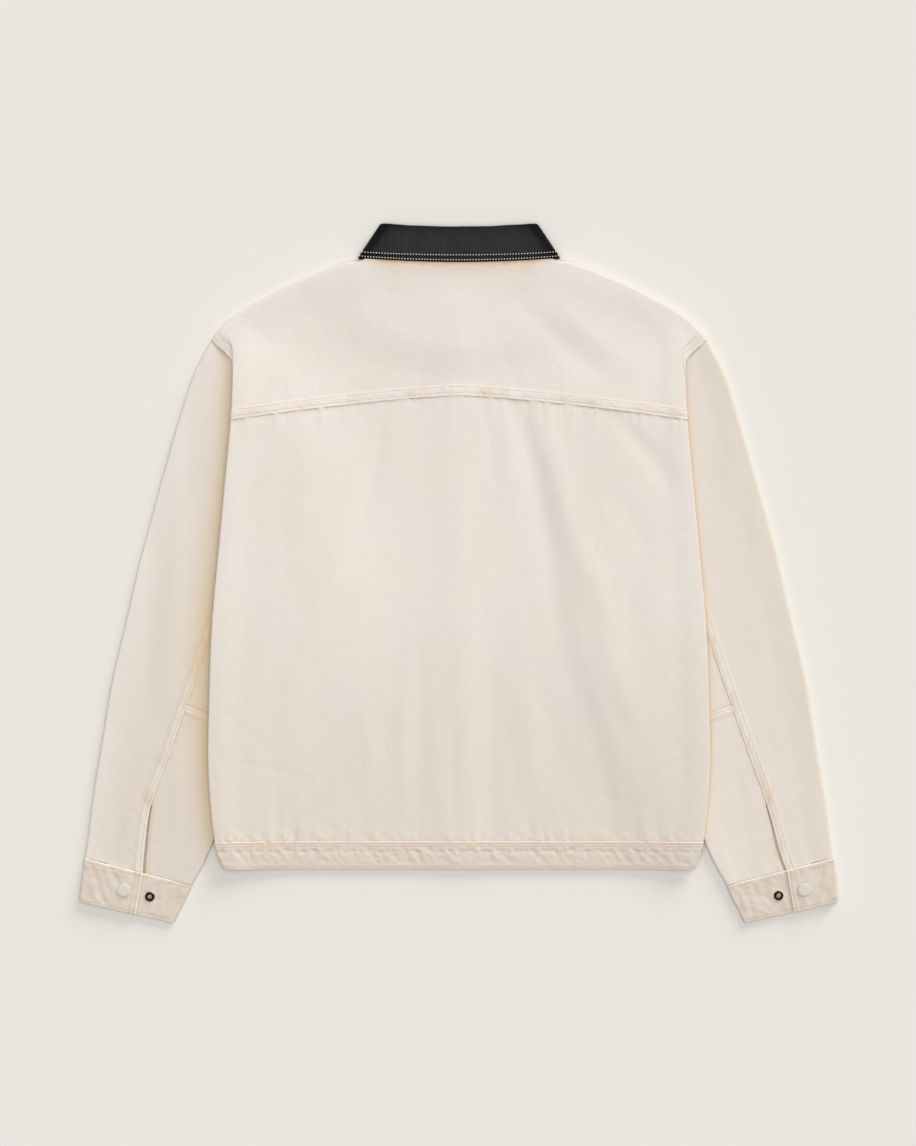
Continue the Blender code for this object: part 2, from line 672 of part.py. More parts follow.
for side, name in ((-1.0, "left"), (1.0, "right")):
    top_columns = [0.0, 0.11, 0.14, 0.35, 0.6, 0.8] + list(FOLD_STOPS) + [2.0, 2.25, 2.5, 2.75, 3.0]
    cloth_panel(f"sleeve_top_{name}", top_columns, SLEEVE_ROWS, top_sleeve(side), UP)
    under_columns = [0.0, 0.3, 0.6, 0.8] + list(FOLD_STOPS) + [2.0, 2.5, 3.0]
    upper_rows = [row for row in SLEEVE_ROWS if row < 6.0] + [CROSS_SEAM_ROW - 0.004]
    cloth_panel(f"sleeve_under_upper_{name}", under_columns, upper_rows, under_sleeve(side, None), UP)
    lower_rows = [CROSS_SEAM_ROW + 0.004, CROSS_SEAM_ROW + CROSS_FELL - 0.05, CROSS_SEAM_ROW + CROSS_FELL]
    lower_rows += [row for row in SLEEVE_ROWS if row > 6.5]
    cloth_panel(f"sleeve_under_lower_{name}", under_columns, lower_rows,
                under_sleeve(side, CROSS_SEAM_ROW), UP)
    cuff_columns = (0.0, 0.5, 1.0, 1.2, 1.4, 1.6, 1.8, 2.0, 2.33, 2.67, 3.0,
                    3.25, 3.5, 3.75, 4.0, 4.33, 4.67, 5.0)
    cloth_panel(f"cuff_{name}", cuff_columns, (0.0, 0.5, 1.0), cuff(side), UP, wall=CUFF_WALL)
    cap_x, cap_y = WRISTS[side].cap_at
    stud_x, stud_y = WRISTS[side].stud_at
    turned_snap(f"snap_cap_{name}", CAP_PROFILE, (side * cap_x, cap_y), CUFF_TOP_Z + GAP, ENAMEL)
    turned_snap(f"snap_stud_{name}", STUD_PROFILE, (side * stud_x, stud_y), CUFF_LOW_Z + GAP, BRASS)
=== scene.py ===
"""The looks of a canvas chore jacket laid out flat with its back up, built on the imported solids.

Tables and functions are in millimetres. Points become metres when a mesh is made. +Z is up, the collar
points along +Y, and the jacket's own left is at -X. Each panel is a grid of columns and rows on the form
of its solid, with its folds, seams and puckers added along its normals and its wall given by Solidify.
"""
from collections import namedtuple
from functools import partial
from math import cos, pi, radians, sin

import bmesh
import bpy
import numpy as np
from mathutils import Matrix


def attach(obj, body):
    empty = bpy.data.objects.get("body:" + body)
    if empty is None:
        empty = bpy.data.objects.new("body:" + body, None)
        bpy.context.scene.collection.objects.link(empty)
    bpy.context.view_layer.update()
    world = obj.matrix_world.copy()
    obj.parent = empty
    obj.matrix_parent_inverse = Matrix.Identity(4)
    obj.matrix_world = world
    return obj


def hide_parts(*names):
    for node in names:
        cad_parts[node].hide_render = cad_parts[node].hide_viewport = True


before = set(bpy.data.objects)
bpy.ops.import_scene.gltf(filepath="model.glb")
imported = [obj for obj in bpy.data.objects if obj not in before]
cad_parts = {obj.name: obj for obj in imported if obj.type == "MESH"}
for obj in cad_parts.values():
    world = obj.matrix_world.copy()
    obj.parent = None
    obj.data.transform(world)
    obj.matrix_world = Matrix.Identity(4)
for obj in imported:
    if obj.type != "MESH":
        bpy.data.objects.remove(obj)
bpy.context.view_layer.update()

# ---- sizes of the form, as the solids have them ----
MM = 0.001
GAP = 0.3
HIDDEN_GAP = 2.4
CLOTH = 1.3
DOUBLE = 1.9
CUFF_WALL = 2.2
FELL = 0.7
FELL_WIDTH = 11.0

SLEEVE_FOLD = 3.3
SLEEVE_SAG = 1.7
CAP_RISE = 24.4

LIFT = 7.1
UNDER_RAMP = (44.0, 28.0)
TOP_RAMP = (118.0, 108.0)
CAP_FADE = (250.0, 28.0)
TOP_FADE = (305.0, 130.0)
BODY_FOLD = 3.35
BODY_SAG = 2.0
SAG_REACH = 40.0
SIDE_TURN = 10.0
FRONT_LAP = 17.0
FRONT_LAP_RISE = 1.8
FRONT_LAP_SPREAD = 26.0
LAP_LIFT = 2.2
WING_TOP = 6.9
ARMHOLE_FOOT = 168.0
ARMHOLE_RISE = 87.5
YOKE_SEAM_Y = 195.5
YOKE_SEAM_DROP = 26.5

HEM_Y = -324.5
HEM_SEAM_Y = -293.7
SHOULDER_COSINE = 0.89
SHOULDER_FOLD_X = 262.0
ARMHOLE_X = 272.4

NECK_X = 97.0
NECK_BACK_Y = 348.0
NECK_FRONT_Y = 293.0
COLLAR_LEAF = 1.7
COLLAR_SPREAD = (115.0, 75.0, 330.0)
NECK_FADE = 0.6
NECK_PUFF = 1.5
COLLAR_TOP = 11.5
COLLAR_ROLL = 2.4
COLLAR_ROLL_BACK = (0.0, 381.9)
COLLAR_EDGE_BACK = (0.0, 342.3)
COLLAR_ROLL_SIDE = (86.4, 385.0)
COLLAR_EDGE_SIDE = (109.9, 349.6)
COLLAR_ROLL_FRONT = (10.0, 300.0)
COLLAR_EDGE_FRONT = (55.0, 268.0)
COLLAR_POINT = 0.50       # how far the fall's corner is drawn out along the collar's side
COLLAR_SQUARE = 0.66       # the same at its roll
STAND_BACK = 33.0
STAND_FRONT = 6.0

CUFF_TOP_Z = 8.2
CUFF_LOW_Z = 5.6
CUFF_END_AT = 25.0
SLIT = 2.4
SLIT_ROW = 7.8
Wrist = namedtuple("Wrist", "lap_at seam_stray cap_at stud_at")
WRISTS = {
    -1.0: Wrist((66.5, 64.0), 6.4, (368.3, -347.5), (339.8, -354.6)),
    1.0: Wrist((53.4, 50.8), -6.3, (379.2, -346.8), (351.1, -353.5)),
}

Side = namedtuple("Side", "y x")
SIDES = [Side(*row) for row in (
    (-324.5, 258.8), (-293.7, 268.3), (-217.8, 275.1), (-150.7, 274.8), (-59.4, 271.5), (15.4, 264.8),
    (148.5, 252.5), (190.0, 249.4), (257.4, 248.3),
)]
Shoulder = namedtuple("Shoulder", "x y")
SHOULDERS = [Shoulder(*row) for row in (
    (97.0, 348.5), (112.0, 343.5), (124.3, 342.0), (156.2, 330.0), (187.6, 316.8), (212.9, 303.6),
    (236.5, 290.4), (254.7, 277.2), (267.3, 264.0), (276.0, 252.0),
)]
SleeveRow = namedtuple("SleeveRow", "row outer_x outer_y inner_x inner_y seam")
SLEEVE = [SleeveRow(*row) for row in (
    (0, 273.4, 254.4, 196.0, 122.0, 0.65),
    (1, 291.5, 218.9, 187.0, 80.0, 0.63),
    (2, 307.5, 169.4, 178.0, 35.0, 0.60),
    (3, 331.0, 87.0, 170.0, -15.0, 0.566),
    (4, 349.0, 21.0, 172.0, -66.0, 0.515),
    (5, 364.0, -45.0, 188.0, -118.0, 0.493),
    (6, 379.5, -111.0, 215.0, -172.0, 0.497),
    (7, 390.5, -177.0, 240.0, -225.0, 0.479),
    (8, 401.5, -243.0, 263.0, -279.0, 0.448),
    (9, 408.0, -292.6, 281.0, -318.0, 0.467),
    (10, 411.2, -312.8, 295.1, -343.0, 0.495),
)]
CROSS_SEAM_ROW = 6.05
UNDER_SEAM = 0.78
CUFF_START = (411.6, -313.4, 294.7, -343.6)
CUFF_FINISH = (417.2, -360.4, 314.3, -384.0)


# ---- small helpers, on numbers or arrays ----
PRESS = 0.45               # below 1, a fold is squarer than a round one
NOISE_TABLE = 64           # noise repeats after this many lumps
NOISE_GAIN = 1.9           # brings noise to about -1 to 1


def ease(t):
    """0 to 1 with a soft start and end."""
    t = np.clip(t, 0.0, 1.0)
    return t * t * (3.0 - 2.0 * t)


def mix(a, b, t):
    return a + (b - a) * t


def bell(offset, width):
    """1 at no offset, falling off softly over the width."""
    return np.exp(-(offset / width) ** 2)


def band(at, start, end, soft):
    """1 between a start and an end, with soft shoulders outside them."""
    return ease((at - start) / soft + 1.0) * ease((end - at) / soft + 1.0)


def crisp(angle):
    """Sine and cosine of a turn, squared off as a pressed fold is."""
    return tuple(np.sign(part) * abs(part) ** PRESS for part in (np.sin(angle), np.cos(angle)))


def read(table, key, column, at):
    """A column of a table as a smooth curve over its key column, which rises from row to row."""
    keys = np.array([getattr(row, key) for row in table], float)
    values = np.array([getattr(row, column) for row in table], float)
    last = len(keys) - 1
    before = np.maximum(np.arange(last + 1) - 1, 0)
    after = np.minimum(np.arange(last + 1) + 1, last)
    slopes = (values[after] - values[before]) / (keys[after] - keys[before])
    at = np.clip(at, keys[0], keys[-1])
    low = np.clip(np.searchsorted(keys, at, side="right") - 1, 0, last - 1)
    step = keys[low + 1] - keys[low]
    t = (at - keys[low]) / step
    rise = values[low + 1] - values[low]
    start, end = slopes[low] * step, slopes[low + 1] * step
    return values[low] + t * start + t * t * (3 * rise - 2 * start - end) + t ** 3 * (start + end - 2 * rise)


def cloud(x, y, size, seed):
    """Smooth noise, about -1 to 1, whose lumps are about a size apart."""
    angles = np.random.default_rng(seed).uniform(0.0, 2.0 * pi, (NOISE_TABLE, NOISE_TABLE))
    u, v = np.broadcast_arrays(np.asarray(x, float) / size, np.asarray(y, float) / size)
    i, j = np.floor(u).astype(int), np.floor(v).astype(int)
    total = np.zeros(u.shape)
    for di, dj in ((0, 0), (0, 1), (1, 0), (1, 1)):
        angle = angles[(i + di) % NOISE_TABLE, (j + dj) % NOISE_TABLE]
        du, dv = u - i - di, v - j - dj
        total += ease(1.0 - abs(du)) * ease(1.0 - abs(dv)) * (np.cos(angle) * du + np.sin(angle) * dv)
    return NOISE_GAIN * total


def patchy(x, y, size, seed):
    """The same noise from about 0 to 1."""
    return 0.5 + 0.5 * cloud(x, y, size, seed)


def spotted(x, y, size, seed):
    """The same noise drawn apart, into spots of 1 on a ground of 0."""
    return ease(0.5 + cloud(x, y, size, seed))


def stops(length, spacing, fine, ends=(True, True), reach=16.0):
    """Stops from 0 to 1 along a length: near the chosen ends they are fine, elsewhere wider apart."""
    places = [0.0]
    while places[-1] < length:
        near_start = places[-1] < reach and ends[0]
        near_end = length - places[-1] < reach and ends[1]
        places.append(places[-1] + (fine if near_start or near_end else spacing))
    return np.array(places) / places[-1]


def over(length, spacing):
    """Even stops from 0 to 1 along a length."""
    return np.linspace(0.0, 1.0, max(int(length / spacing), 2) + 1)


def joined(*parts):
    """Stops of several stretches, each given as (its first value, stops from 0 to 1), with no stop twice."""
    return np.unique(np.round(np.concatenate([first + stretch for first, stretch in parts]), 7))


# ---- outlines in plan ----
def side_edge(y):
    return read(SIDES, "y", "x", y)


def shoulder_edge(x):
    return read(SHOULDERS, "x", "y", x)


def yoke_seam(c):
    return YOKE_SEAM_Y - YOKE_SEAM_DROP * c ** 1.4


def armhole_x(y):
    climb = np.clip((y - ARMHOLE_FOOT) / ARMHOLE_RISE, 0.0, 1.0)
    return side_edge(y) - SIDE_TURN + (ARMHOLE_X - side_edge(257.0) + SIDE_TURN) * climb ** 4


def sleeve_row(row):
    """Outer fold, inner fold and seam of the sleeve at a row number, which may lie between rows."""
    *places, seam = (read(SLEEVE, "row", name, row) for name in SleeveRow._fields[1:])
    return np.stack(places[:2], -1), np.stack(places[2:], -1), seam


def sleeve_plan(row, reach):
    """Point of the sleeve in plan, reach of the way from its outer to its inner fold."""
    outer, inner, _ = sleeve_row(row)
    bow = CAP_RISE * np.sin(pi * reach) * np.maximum(1.0 - row, 0.0) ** 1.5
    x = mix(outer[..., 0], inner[..., 0], reach)
    y = mix(outer[..., 1], inner[..., 1], reach)
    return x, y + bow


Tuck = namedtuple("Tuck", "y x")
TUCKED = [Tuck(*sleeve_row(row)[1][::-1]) for row in range(10, 0, -1)]
TUCKED += [Tuck(*sleeve_plan(0, reach)[::-1]) for reach in (1.0, 0.8, 0.6, 0.4, 0.2, 0.0)]


# ---- heights ----
def over_sleeve(x, y, ramp, fading):
    start, width = ramp
    top, fade = fading
    inside = abs(x) - read(TUCKED, "y", "x", y)
    return ease((inside + start) / width) * ease((top - y) / fade)


def near_neck(x, y):
    half_width, half_depth, middle = COLLAR_SPREAD
    reach = np.hypot(x / half_width, (y - middle) / half_depth)
    return ease(1.0 + (1.0 - reach) / NECK_FADE)


def under_height(x, y):
    """Underside of the fronts."""
    return LIFT * over_sleeve(x, y, UNDER_RAMP, CAP_FADE) + COLLAR_LEAF * near_neck(x, y)


def from_body_fold(x, y):
    """Distance in plan to the fold at the body's side or shoulder."""
    x = abs(x)
    return np.minimum(side_edge(y) - x, SHOULDER_COSINE * (shoulder_edge(x) - y))


def top_height(x, y):
    """Upper face of the back, before its folds."""
    sag = BODY_SAG * ease(from_body_fold(x, y) / SAG_REACH)
    lap = FRONT_LAP_RISE * bell(x, FRONT_LAP_SPREAD) * ease((COLLAR_SPREAD[2] - y) / SAG_REACH)
    height = LIFT * over_sleeve(x, y, TOP_RAMP, TOP_FADE) + 2.0 * BODY_FOLD - sag + lap
    return height + (COLLAR_LEAF + NECK_PUFF) * near_neck(x, y)


# ---- folds and seams, as relief along a panel's normals ----
# A soft fold runs from its start to its end, bowed sideways at its middle. Troughs have a height below 0.
Fold = namedtuple("Fold", "x0 y0 x1 y1 bow width height")
BACK_FOLDS = [Fold(*row) for row in (
    (61, 192, 99, 16, 5, 12, -1.9), (97, 40, 134, -160, -4, 17, -1.8), (134, -122, 178, -290, 0, 13, -1.1),
    (94, 176, 152, -30, -5, 15, 1.7), (150, 10, 184, -150, 0, 14, 1.0), (155, 190, 243, 86, 2, 11, -1.3),
    (158, 98, 206, 22, 3, 15, -1.1), (184, -26, 190, -72, 0, 14, -1.0), (157, -128, 208, -210, 0, 12, -0.7),
    (214, 96, 222, -80, 0, 20, 0.8), (52, 170, 58, 60, 0, 11, 0.9), (64, -30, 92, -262, -5, 16, 1.1),
    (30, 190, 36, 112, 0, 8, -0.8), (21, 90, -4, -60, 0, 10, -0.7), (39, -96, 36, -296, -3, 10, -0.9),
    (5, -40, 10, -280, 0, 13, 0.6), (-7, -172, -4, -290, 0, 6, -0.5), (-43, -70, -46, -250, 1, 10, -0.8),
    (-24, -142, -22, -296, 0, 10, 0.5), (-64, -130, -60, -280, 0, 8, 0.5),
    (-68, -66, -80, -190, 2, 11, -0.7), (-104, -130, -100, -262, 2, 9, 0.6),
    (-80, 186, -124, 10, 6, 9, -0.8), (-104, 150, -170, -76, 7, 12, 0.7), (-178, 122, -212, 10, 4, 13, -0.7),
    (-148, -120, -164, -210, 2, 13, -0.6), (-200, -60, -206, -262, 0, 14, -0.5),
    (-32, 190, -35, 168, 0, 6, -0.9), (-134, 188, -130, 160, 0, 6, -0.7), (-252, 150, -266, -70, 3, 13, 0.6),
    (-263, 67, -208, 100, 2, 2.8, -0.55), (-259, 34, -226, 48, 1, 2.6, -0.50),
    (-263, -54, -219, -14, -2, 2.8, -0.50), (-261, -150, -215, -190, 2, 2.8, -0.55),
    (-252, -210, -175, -223, 3, 3.0, -0.50), (254, 114, 214, 136, 1, 2.6, -0.45),
    (258, 48, 210, 30, -2, 2.8, -0.50), (267, -84, 217, -113, 2, 2.8, -0.45),
    (265, -197, 210, -224, -2, 2.8, -0.50), (144, -241, 217, -263, 2, 2.8, -0.45),
)]
YOKE_FOLDS = [Fold(*row) for row in (
    (67, 300, 178, 206, -5, 13, -1.2), (100, 306, 196, 226, -4, 12, 0.8), (-67, 303, -100, 220, 2, 10, 0.5),
    (190, 305, 250, 240, 2, 12, 0.5), (48, 254, 62, 198, 0, 9, -0.7), (-206, 246, -217, 195, 0, 12, -0.5),
    (-59, 254, -67, 195, 0, 10, 0.4), (-4, 300, -2, 205, 1, 11, 0.3),
)]
LEFT_SLEEVE_FOLDS = [Fold(*row) for row in (
    (-309, 150, -321, -140, 3, 12, 1.2), (-338, 82, -343, -165, 0, 11, -0.8),
    (-309, -188, -312, -304, 1, 9, 0.9), (-351, -232, -365, -312, -2, 9, 0.7),
    (-383, -60, -397, -260, -2, 9, 0.6), (-257, 256, -263, 150, 2, 8, -1.5),
)]
RIGHT_SLEEVE_FOLDS = [Fold(*row) for row in (
    (318, 96, 329, -30, 2, 11, 0.6), (292, 180, 306, 30, 2, 9, 0.5), (372, -30, 392, -190, 2, 10, 0.6),
    (330, -190, 352, -300, 2, 8, 0.7), (388, -235, 396, -312, 0, 8, 0.6),
    (303, -205, 326, -318, -2, 8, -0.6),
)]
SLEEVE_FOLDS = {-1.0: LEFT_SLEEVE_FOLDS, 1.0: RIGHT_SLEEVE_FOLDS}
FOLD_END = 60.0            # a fold fades in over about this length at each end

STITCH_DEPTH = 0.24        # how far a row of stitches sinks into the cloth
STITCH_GROOVE = 0.85       # half the width of the groove along it
ROPE_HEIGHT = 0.24         # of the twisted swells between the rows of a felled strip
EDGE_ROLL = 0.5            # how far a turned edge rolls down

Dress = namedtuple("Dress", "relief tint pale gold", defaults=(0.0,))


def folds_at(table, x, y):
    """Height of all the soft folds of a table at plan points."""
    total = np.zeros(np.shape(x))
    for fold in table:
        run_x, run_y = fold.x1 - fold.x0, fold.y1 - fold.y0
        length = np.hypot(run_x, run_y)
        t = ((x - fold.x0) * run_x + (y - fold.y0) * run_y) / length ** 2
        on = np.clip(t, 0.0, 1.0)
        off = ((y - fold.y0) * run_x - (x - fold.x0) * run_y) / length - 4.0 * fold.bow * on * (1.0 - on)
        soft = FOLD_END / length
        ends = ease((t / soft + 0.6) / 1.6) * ease(((1.0 - t) / soft + 0.6) / 1.6)
        total += fold.height * bell(off, fold.width * (0.85 + 0.3 * on)) * ends
    return total


def slack(x, y, seed):
    """The loose, washed lie of canvas: long shallow waves down the panel, and smaller lumps."""
    waves = 0.13 * cloud(x, y * 0.25, 34.0, seed) + 0.09 * cloud(x, y * 0.4, 14.0, seed + 1)
    return waves + 0.045 * cloud(x * 0.5, y, 5.0, seed + 2)


def puckers(along, away, seed, height=0.42):
    """Small gathers that start at a seam and fade out away from it."""
    strength = 0.45 + 0.55 * spotted(along, 0.0, 34.0, seed)
    fine = cloud(along, away * 0.10, 5.5, seed + 1) * np.exp(-abs(away) / 7.0)
    broad = cloud(along, away * 0.08, 13.0, seed + 2) * np.exp(-abs(away) / 22.0)
    return height * strength * (fine + 0.9 * broad)


def stitched_strip(away, along, rows, seed, height=0.0, width=FELL_WIDTH, stain=None):
    """A felled strip inside a seam's edge: its rows sink in, and the cloth ropes between them.
    `stain` is how rusty it is along its length."""
    on = ease((away - 0.4) / 0.9 + 1.0) * ease((width + 1.5 - away) / 4.0)
    grooves = sum(bell(away - row, STITCH_GROOVE) for row in rows)
    rope = cloud(along + 0.6 * away, 0.7 * away, 4.2, seed)
    swell = band(away, 1.2, rows[-1] - 1.0, 1.6)
    relief = (height - STITCH_DEPTH * grooves) * on + ROPE_HEIGHT * rope * swell
    relief -= EDGE_ROLL * bell(away, 0.55)
    if stain is None:
        stain = 0.5 * ease(0.4 + cloud(along, away * 0.5, 17.0, seed + 1))
    spots = spotted(along, away * 1.2, 3.6, seed + 2)
    # Rust for stains and stitch holes; its last term, 0.30 at the very edge, is painted warm shade on the
    # folded edge. The pale just inside the edge is wear with a painted highlight on its ridge.
    tint = grooves * (0.01 + 0.09 * stain + 0.05 * spots) + swell * stain * (0.10 + 0.26 * spots)
    tint += 0.14 * stain * spots * bell(away - width - 0.5, 2.2) + 0.30 * bell(away, 0.4)
    pale = 0.55 * bell(away - 1.2, 0.8) + 0.40 * swell * (1.0 - stain) * (0.4 + 0.6 * spots)
    return Dress(relief, tint, pale)


# ---- forms of the body's panels ----
def turned_side(turn, fold_x, top_z, low_z, end_x):
    """Section where the cloth turns over the side fold: turn runs from 0, on top, to 1, at its edge."""
    radius = (top_z - low_z) / 2.0
    sine, cosine = crisp(np.minimum(turn, 0.5) * pi)
    arc = fold_x - radius + radius * sine, top_z - radius + radius * cosine
    t = np.clip((turn - 0.5) * 2.0, 0.0, 1.0)
    parts = ((1 - t) ** 3, 3 * t * (1 - t) ** 2, 3 * t * t * (1 - t), t ** 3)
    across = (fold_x, fold_x, mix(fold_x, end_x, 0.35), end_x)
    heights = (top_z - radius, top_z - 1.9 * radius, low_z, low_z)
    tail = [sum(part * point for part, point in zip(parts, points)) for points in (across, heights)]
    return [np.where(turn <= 0.5, near, far) for near, far in zip(arc, tail)]


def body_section(across, turn, y, end_x, low_z, proud=0.0):
    """Height and place across of the back's cloth at a y, on top and round its side fold."""
    fold_x = side_edge(y) + proud / 2.0
    top_z = top_height(fold_x - BODY_FOLD, y) + proud
    radius = (top_z - low_z) / 2.0
    turned_x, turned_z = turned_side(turn, fold_x, top_z, low_z, end_x)
    flat_x = across * (fold_x - radius)
    flat_z = mix(top_height(flat_x, y) + proud, top_z, ease((across - 0.9) * 10.0))
    return np.where(turn > 0.0, turned_x, flat_x), np.where(turn > 0.0, turned_z, flat_z)


def halves(column):
    """Side, way across to the side fold, and turn round it, of columns from -2 to 2."""
    place = abs(column)
    return np.where(column < 0.0, -1.0, 1.0), np.minimum(place, 1.0), np.maximum(place - 1.0, 0.0)


def back_form(low, high, proud, column, row):
    """The back below the yoke, from one line across it (row 0) to another (row 1), moved out by `proud`."""
    side, across, turn = halves(column)
    y = mix(low(across), high(across), row)
    end_x = side_edge(y) - SIDE_TURN
    x, z = body_section(across, turn, y, end_x, under_height(end_x, y), proud)
    return side * x, y, z


Rim = namedtuple("Rim", "x y out_x out_y turned radius top")


def shoulder_fold(x, turn):
    """The shoulder's fold at x: where it starts in plan, its way out, how far it turns, and its heights."""
    turned = ease((x - NECK_X + 5.0) / 14.0)
    at_neck = x < NECK_X
    y = np.where(at_neck, NECK_BACK_Y + 0.5 * (x / NECK_X) ** 2, shoulder_edge(x))
    rise = np.where(at_neck, 0.0, (shoulder_edge(x + 2.0) - shoulder_edge(x - 2.0)) / 4.0)
    length = np.hypot(rise, 1.0)
    out_x, out_y = -rise / length, 1.0 / length
    inset = BODY_FOLD * turned
    top = mix(top_height(x - out_x * inset, y - out_y * inset), WING_TOP, turn)
    radius = (top - under_height(x - out_x * inset, y - out_y * inset)) / 2.0
    reach = radius * turned
    return Rim(x - out_x * reach, y - out_y * reach, out_x, out_y, turned, radius, top)


# The powers that say how near the top a row starts to follow the shoulder's edge.
PULL_MIDDLE, PULL_SIDE, PULL_WING, PULL_FRONT = 6.0, 12.0, 24.0, 80.0


def rim_pull(row, across, turn, last=PULL_WING):
    """How far a row near the top follows the shoulder's edge instead of the side's."""
    return row ** mix(mix(PULL_MIDDLE, PULL_SIDE, across), last, turn)


def yoke_form(column, row):
    """The yoke: row 0 to 1 from its seam up to the shoulder, then 1 to 2 over the shoulder's fold."""
    side, across, turn = halves(column)
    rim = shoulder_fold(across * SHOULDER_FOLD_X + turn * (ARMHOLE_X - SHOULDER_FOLD_X), turn)
    climb = np.minimum(row, 1.0)
    y = mix(yoke_seam(across), rim.y, climb)
    end_x = armhole_x(y)
    x, z = body_section(across, turn, y, end_x, np.maximum(under_height(end_x, y), WING_TOP))
    pull = rim_pull(climb, across, turn)
    past = row > 1.0
    beyond = np.maximum(row - 1.0, 0.0)
    sine, cosine = crisp(rim.turned * pi * beyond)
    out = rim.radius * sine + (1.0 - rim.turned) * 2.5 * beyond
    x = np.where(past, rim.x + rim.out_x * out, mix(x, rim.x, pull))
    y = np.where(past, rim.y + rim.out_y * out, y)
    z = np.where(past, rim.top - rim.radius * (1.0 - cosine), mix(z, rim.top, pull))
    return side * x, y, z


def front_height(x, y, lap):
    """Height of a front that rises by `lap` where it lies over the other one."""
    return under_height(x, y) + lap * ease((FRONT_LAP + 9.0 - x) / 6.0)


def front_form(side, lap, column, row):
    """A front: column 0 at its closing edge to 1 at the side, row 0 at the hem seam to 1 at the top."""
    edge_x = mix(-FRONT_LAP, ARMHOLE_X, column)
    wing = np.clip((edge_x - SHOULDER_FOLD_X) / (ARMHOLE_X - SHOULDER_FOLD_X), 0.0, 1.0)
    rim = shoulder_fold(np.maximum(edge_x, NECK_X), wing)
    top_x, top_y = rim.x - rim.out_x * HIDDEN_GAP, rim.y - rim.out_y * HIDDEN_GAP
    neck = mix(NECK_FRONT_Y, top_y, (np.maximum(edge_x, 0.0) / NECK_X) ** 2.4)
    top_x = np.where(edge_x < NECK_X, edge_x, top_x)
    top_y = np.where(edge_x < NECK_X, neck, top_y)
    y = mix(HEM_SEAM_Y + GAP, top_y, row)
    x = mix(-FRONT_LAP, armhole_x(y) - mix(GAP, HIDDEN_GAP, ease((y - 100.0) / 40.0)), column)
    x = mix(x, top_x, rim_pull(row, column, 1.0, PULL_FRONT))
    return side * x, y, front_height(x, y, lap)


def hem_front_form(side, lap, column, row):
    """The hem band of a front, with its columns as on the front."""
    y = mix(HEM_Y, HEM_SEAM_Y, row)
    x = mix(-FRONT_LAP, side_edge(y) - SIDE_TURN - GAP, column)
    return side * x, y, front_height(x, y, lap)


# ---- form of the collar ----
def collar_form(station, profile):
    """Station 0 at the middle of the back, 1 to 2 round the neck's side, 3 at the front end. The profile
    runs from the fall's edge (0) up to the roll (1), round it (2) and down the stand (3)."""
    side = np.where(station < 0.0, -1.0, 1.0)
    place = abs(station)
    along = np.subtract(COLLAR_EDGE_SIDE, COLLAR_ROLL_SIDE)
    along = along / np.hypot(*along)
    outward = np.array((-along[1], along[0]))
    half = COLLAR_TOP / 2.0
    roll_turn = np.subtract(COLLAR_ROLL_SIDE, outward * half + along * half * COLLAR_SQUARE)
    edge_turn = np.subtract(COLLAR_EDGE_SIDE, outward * half)
    behind = np.minimum(place, 1.0)
    ahead = np.clip(place - 2.0, 0.0, 1.0)

    def line(back, turn, front):
        x = np.where(place < 1.0, turn[0] * behind, mix(turn[0], front[0], ahead))
        y = np.where(place < 1.0, mix(back[1], turn[1], behind ** 2), mix(turn[1], front[1], ahead))
        return x, y

    roll_x, roll_y = line(COLLAR_ROLL_BACK, roll_turn, COLLAR_ROLL_FRONT)
    edge_x, edge_y = line(COLLAR_EDGE_BACK, edge_turn, COLLAR_EDGE_FRONT)
    fall = np.hypot(edge_x - roll_x, edge_y - roll_y)
    sine, cosine = crisp(pi * np.clip(place - 1.0, 0.0, 1.0))
    angle = pi * np.clip(profile - 1.0, 0.0, 1.0)
    run = np.where(profile <= 1.0, mix(fall, COLLAR_ROLL, np.minimum(profile, 1.0)),
                   COLLAR_ROLL * (1.0 - np.sin(angle)))
    run = np.where(profile > 2.0, mix(COLLAR_ROLL, mix(STAND_BACK, STAND_FRONT, ahead), profile - 2.0), run)
    depth = half - COLLAR_ROLL * (1.0 - np.cos(angle))
    point = mix(COLLAR_POINT, COLLAR_SQUARE, np.clip(profile, 0.0, 1.0))
    out_x, out_y = outward[:, None, None] + along[:, None, None] * point
    x = roll_x + out_x * sine * depth + (edge_x - roll_x) / fall * run
    y = roll_y + out_y * sine * depth + (edge_y - roll_y) / fall * run
    return side * x, y, half + cosine * depth


# ---- forms of the sleeves and cuffs ----
def sleeve_width(row):
    outer, inner, _ = sleeve_row(row)
    return np.hypot(inner[..., 0] - outer[..., 0], inner[..., 1] - outer[..., 1])


def sleeve_section(row, turn):
    """Round the sleeve at a row: turn 0 to 1 over its top from the outer to the inner fold, then
    1 to 2 round that fold, 2 to 3 back along the ground and 3 to 4 round the outer fold."""
    width, radius = sleeve_width(row), SLEEVE_FOLD
    turn = turn % 4.0
    top = mix(radius, width - radius, turn)
    low = ease(np.minimum(top, width - top) / 32.0) - ease(radius / 32.0)
    inner_sine, inner_cosine = crisp(pi * (turn - 1.0))
    outer_sine, outer_cosine = crisp(pi * (turn - 3.0))
    cases = (turn <= 1.0, turn <= 2.0, turn <= 3.0)
    reach = np.select(cases, (top, width - radius + radius * inner_sine,
                              mix(width - radius, radius, turn - 2.0)), radius - radius * outer_sine)
    height = np.select(cases, (2.0 * radius - SLEEVE_SAG * low, radius * (1.0 + inner_cosine),
                               np.zeros(np.shape(turn))), radius * (1.0 - outer_cosine))
    x, y = sleeve_plan(row, reach / width)
    return x, y, height


def seam_turn(side, row, offset):
    """The back seam's place in a section, moved by an offset across the sleeve."""
    width = sleeve_width(row)
    seam = sleeve_row(row)[2] * width + WRISTS[side].seam_stray * np.maximum(row - 8.0, 0.0) / 2.0
    return (seam + offset - SLEEVE_FOLD) / (width - 2.0 * SLEEVE_FOLD)


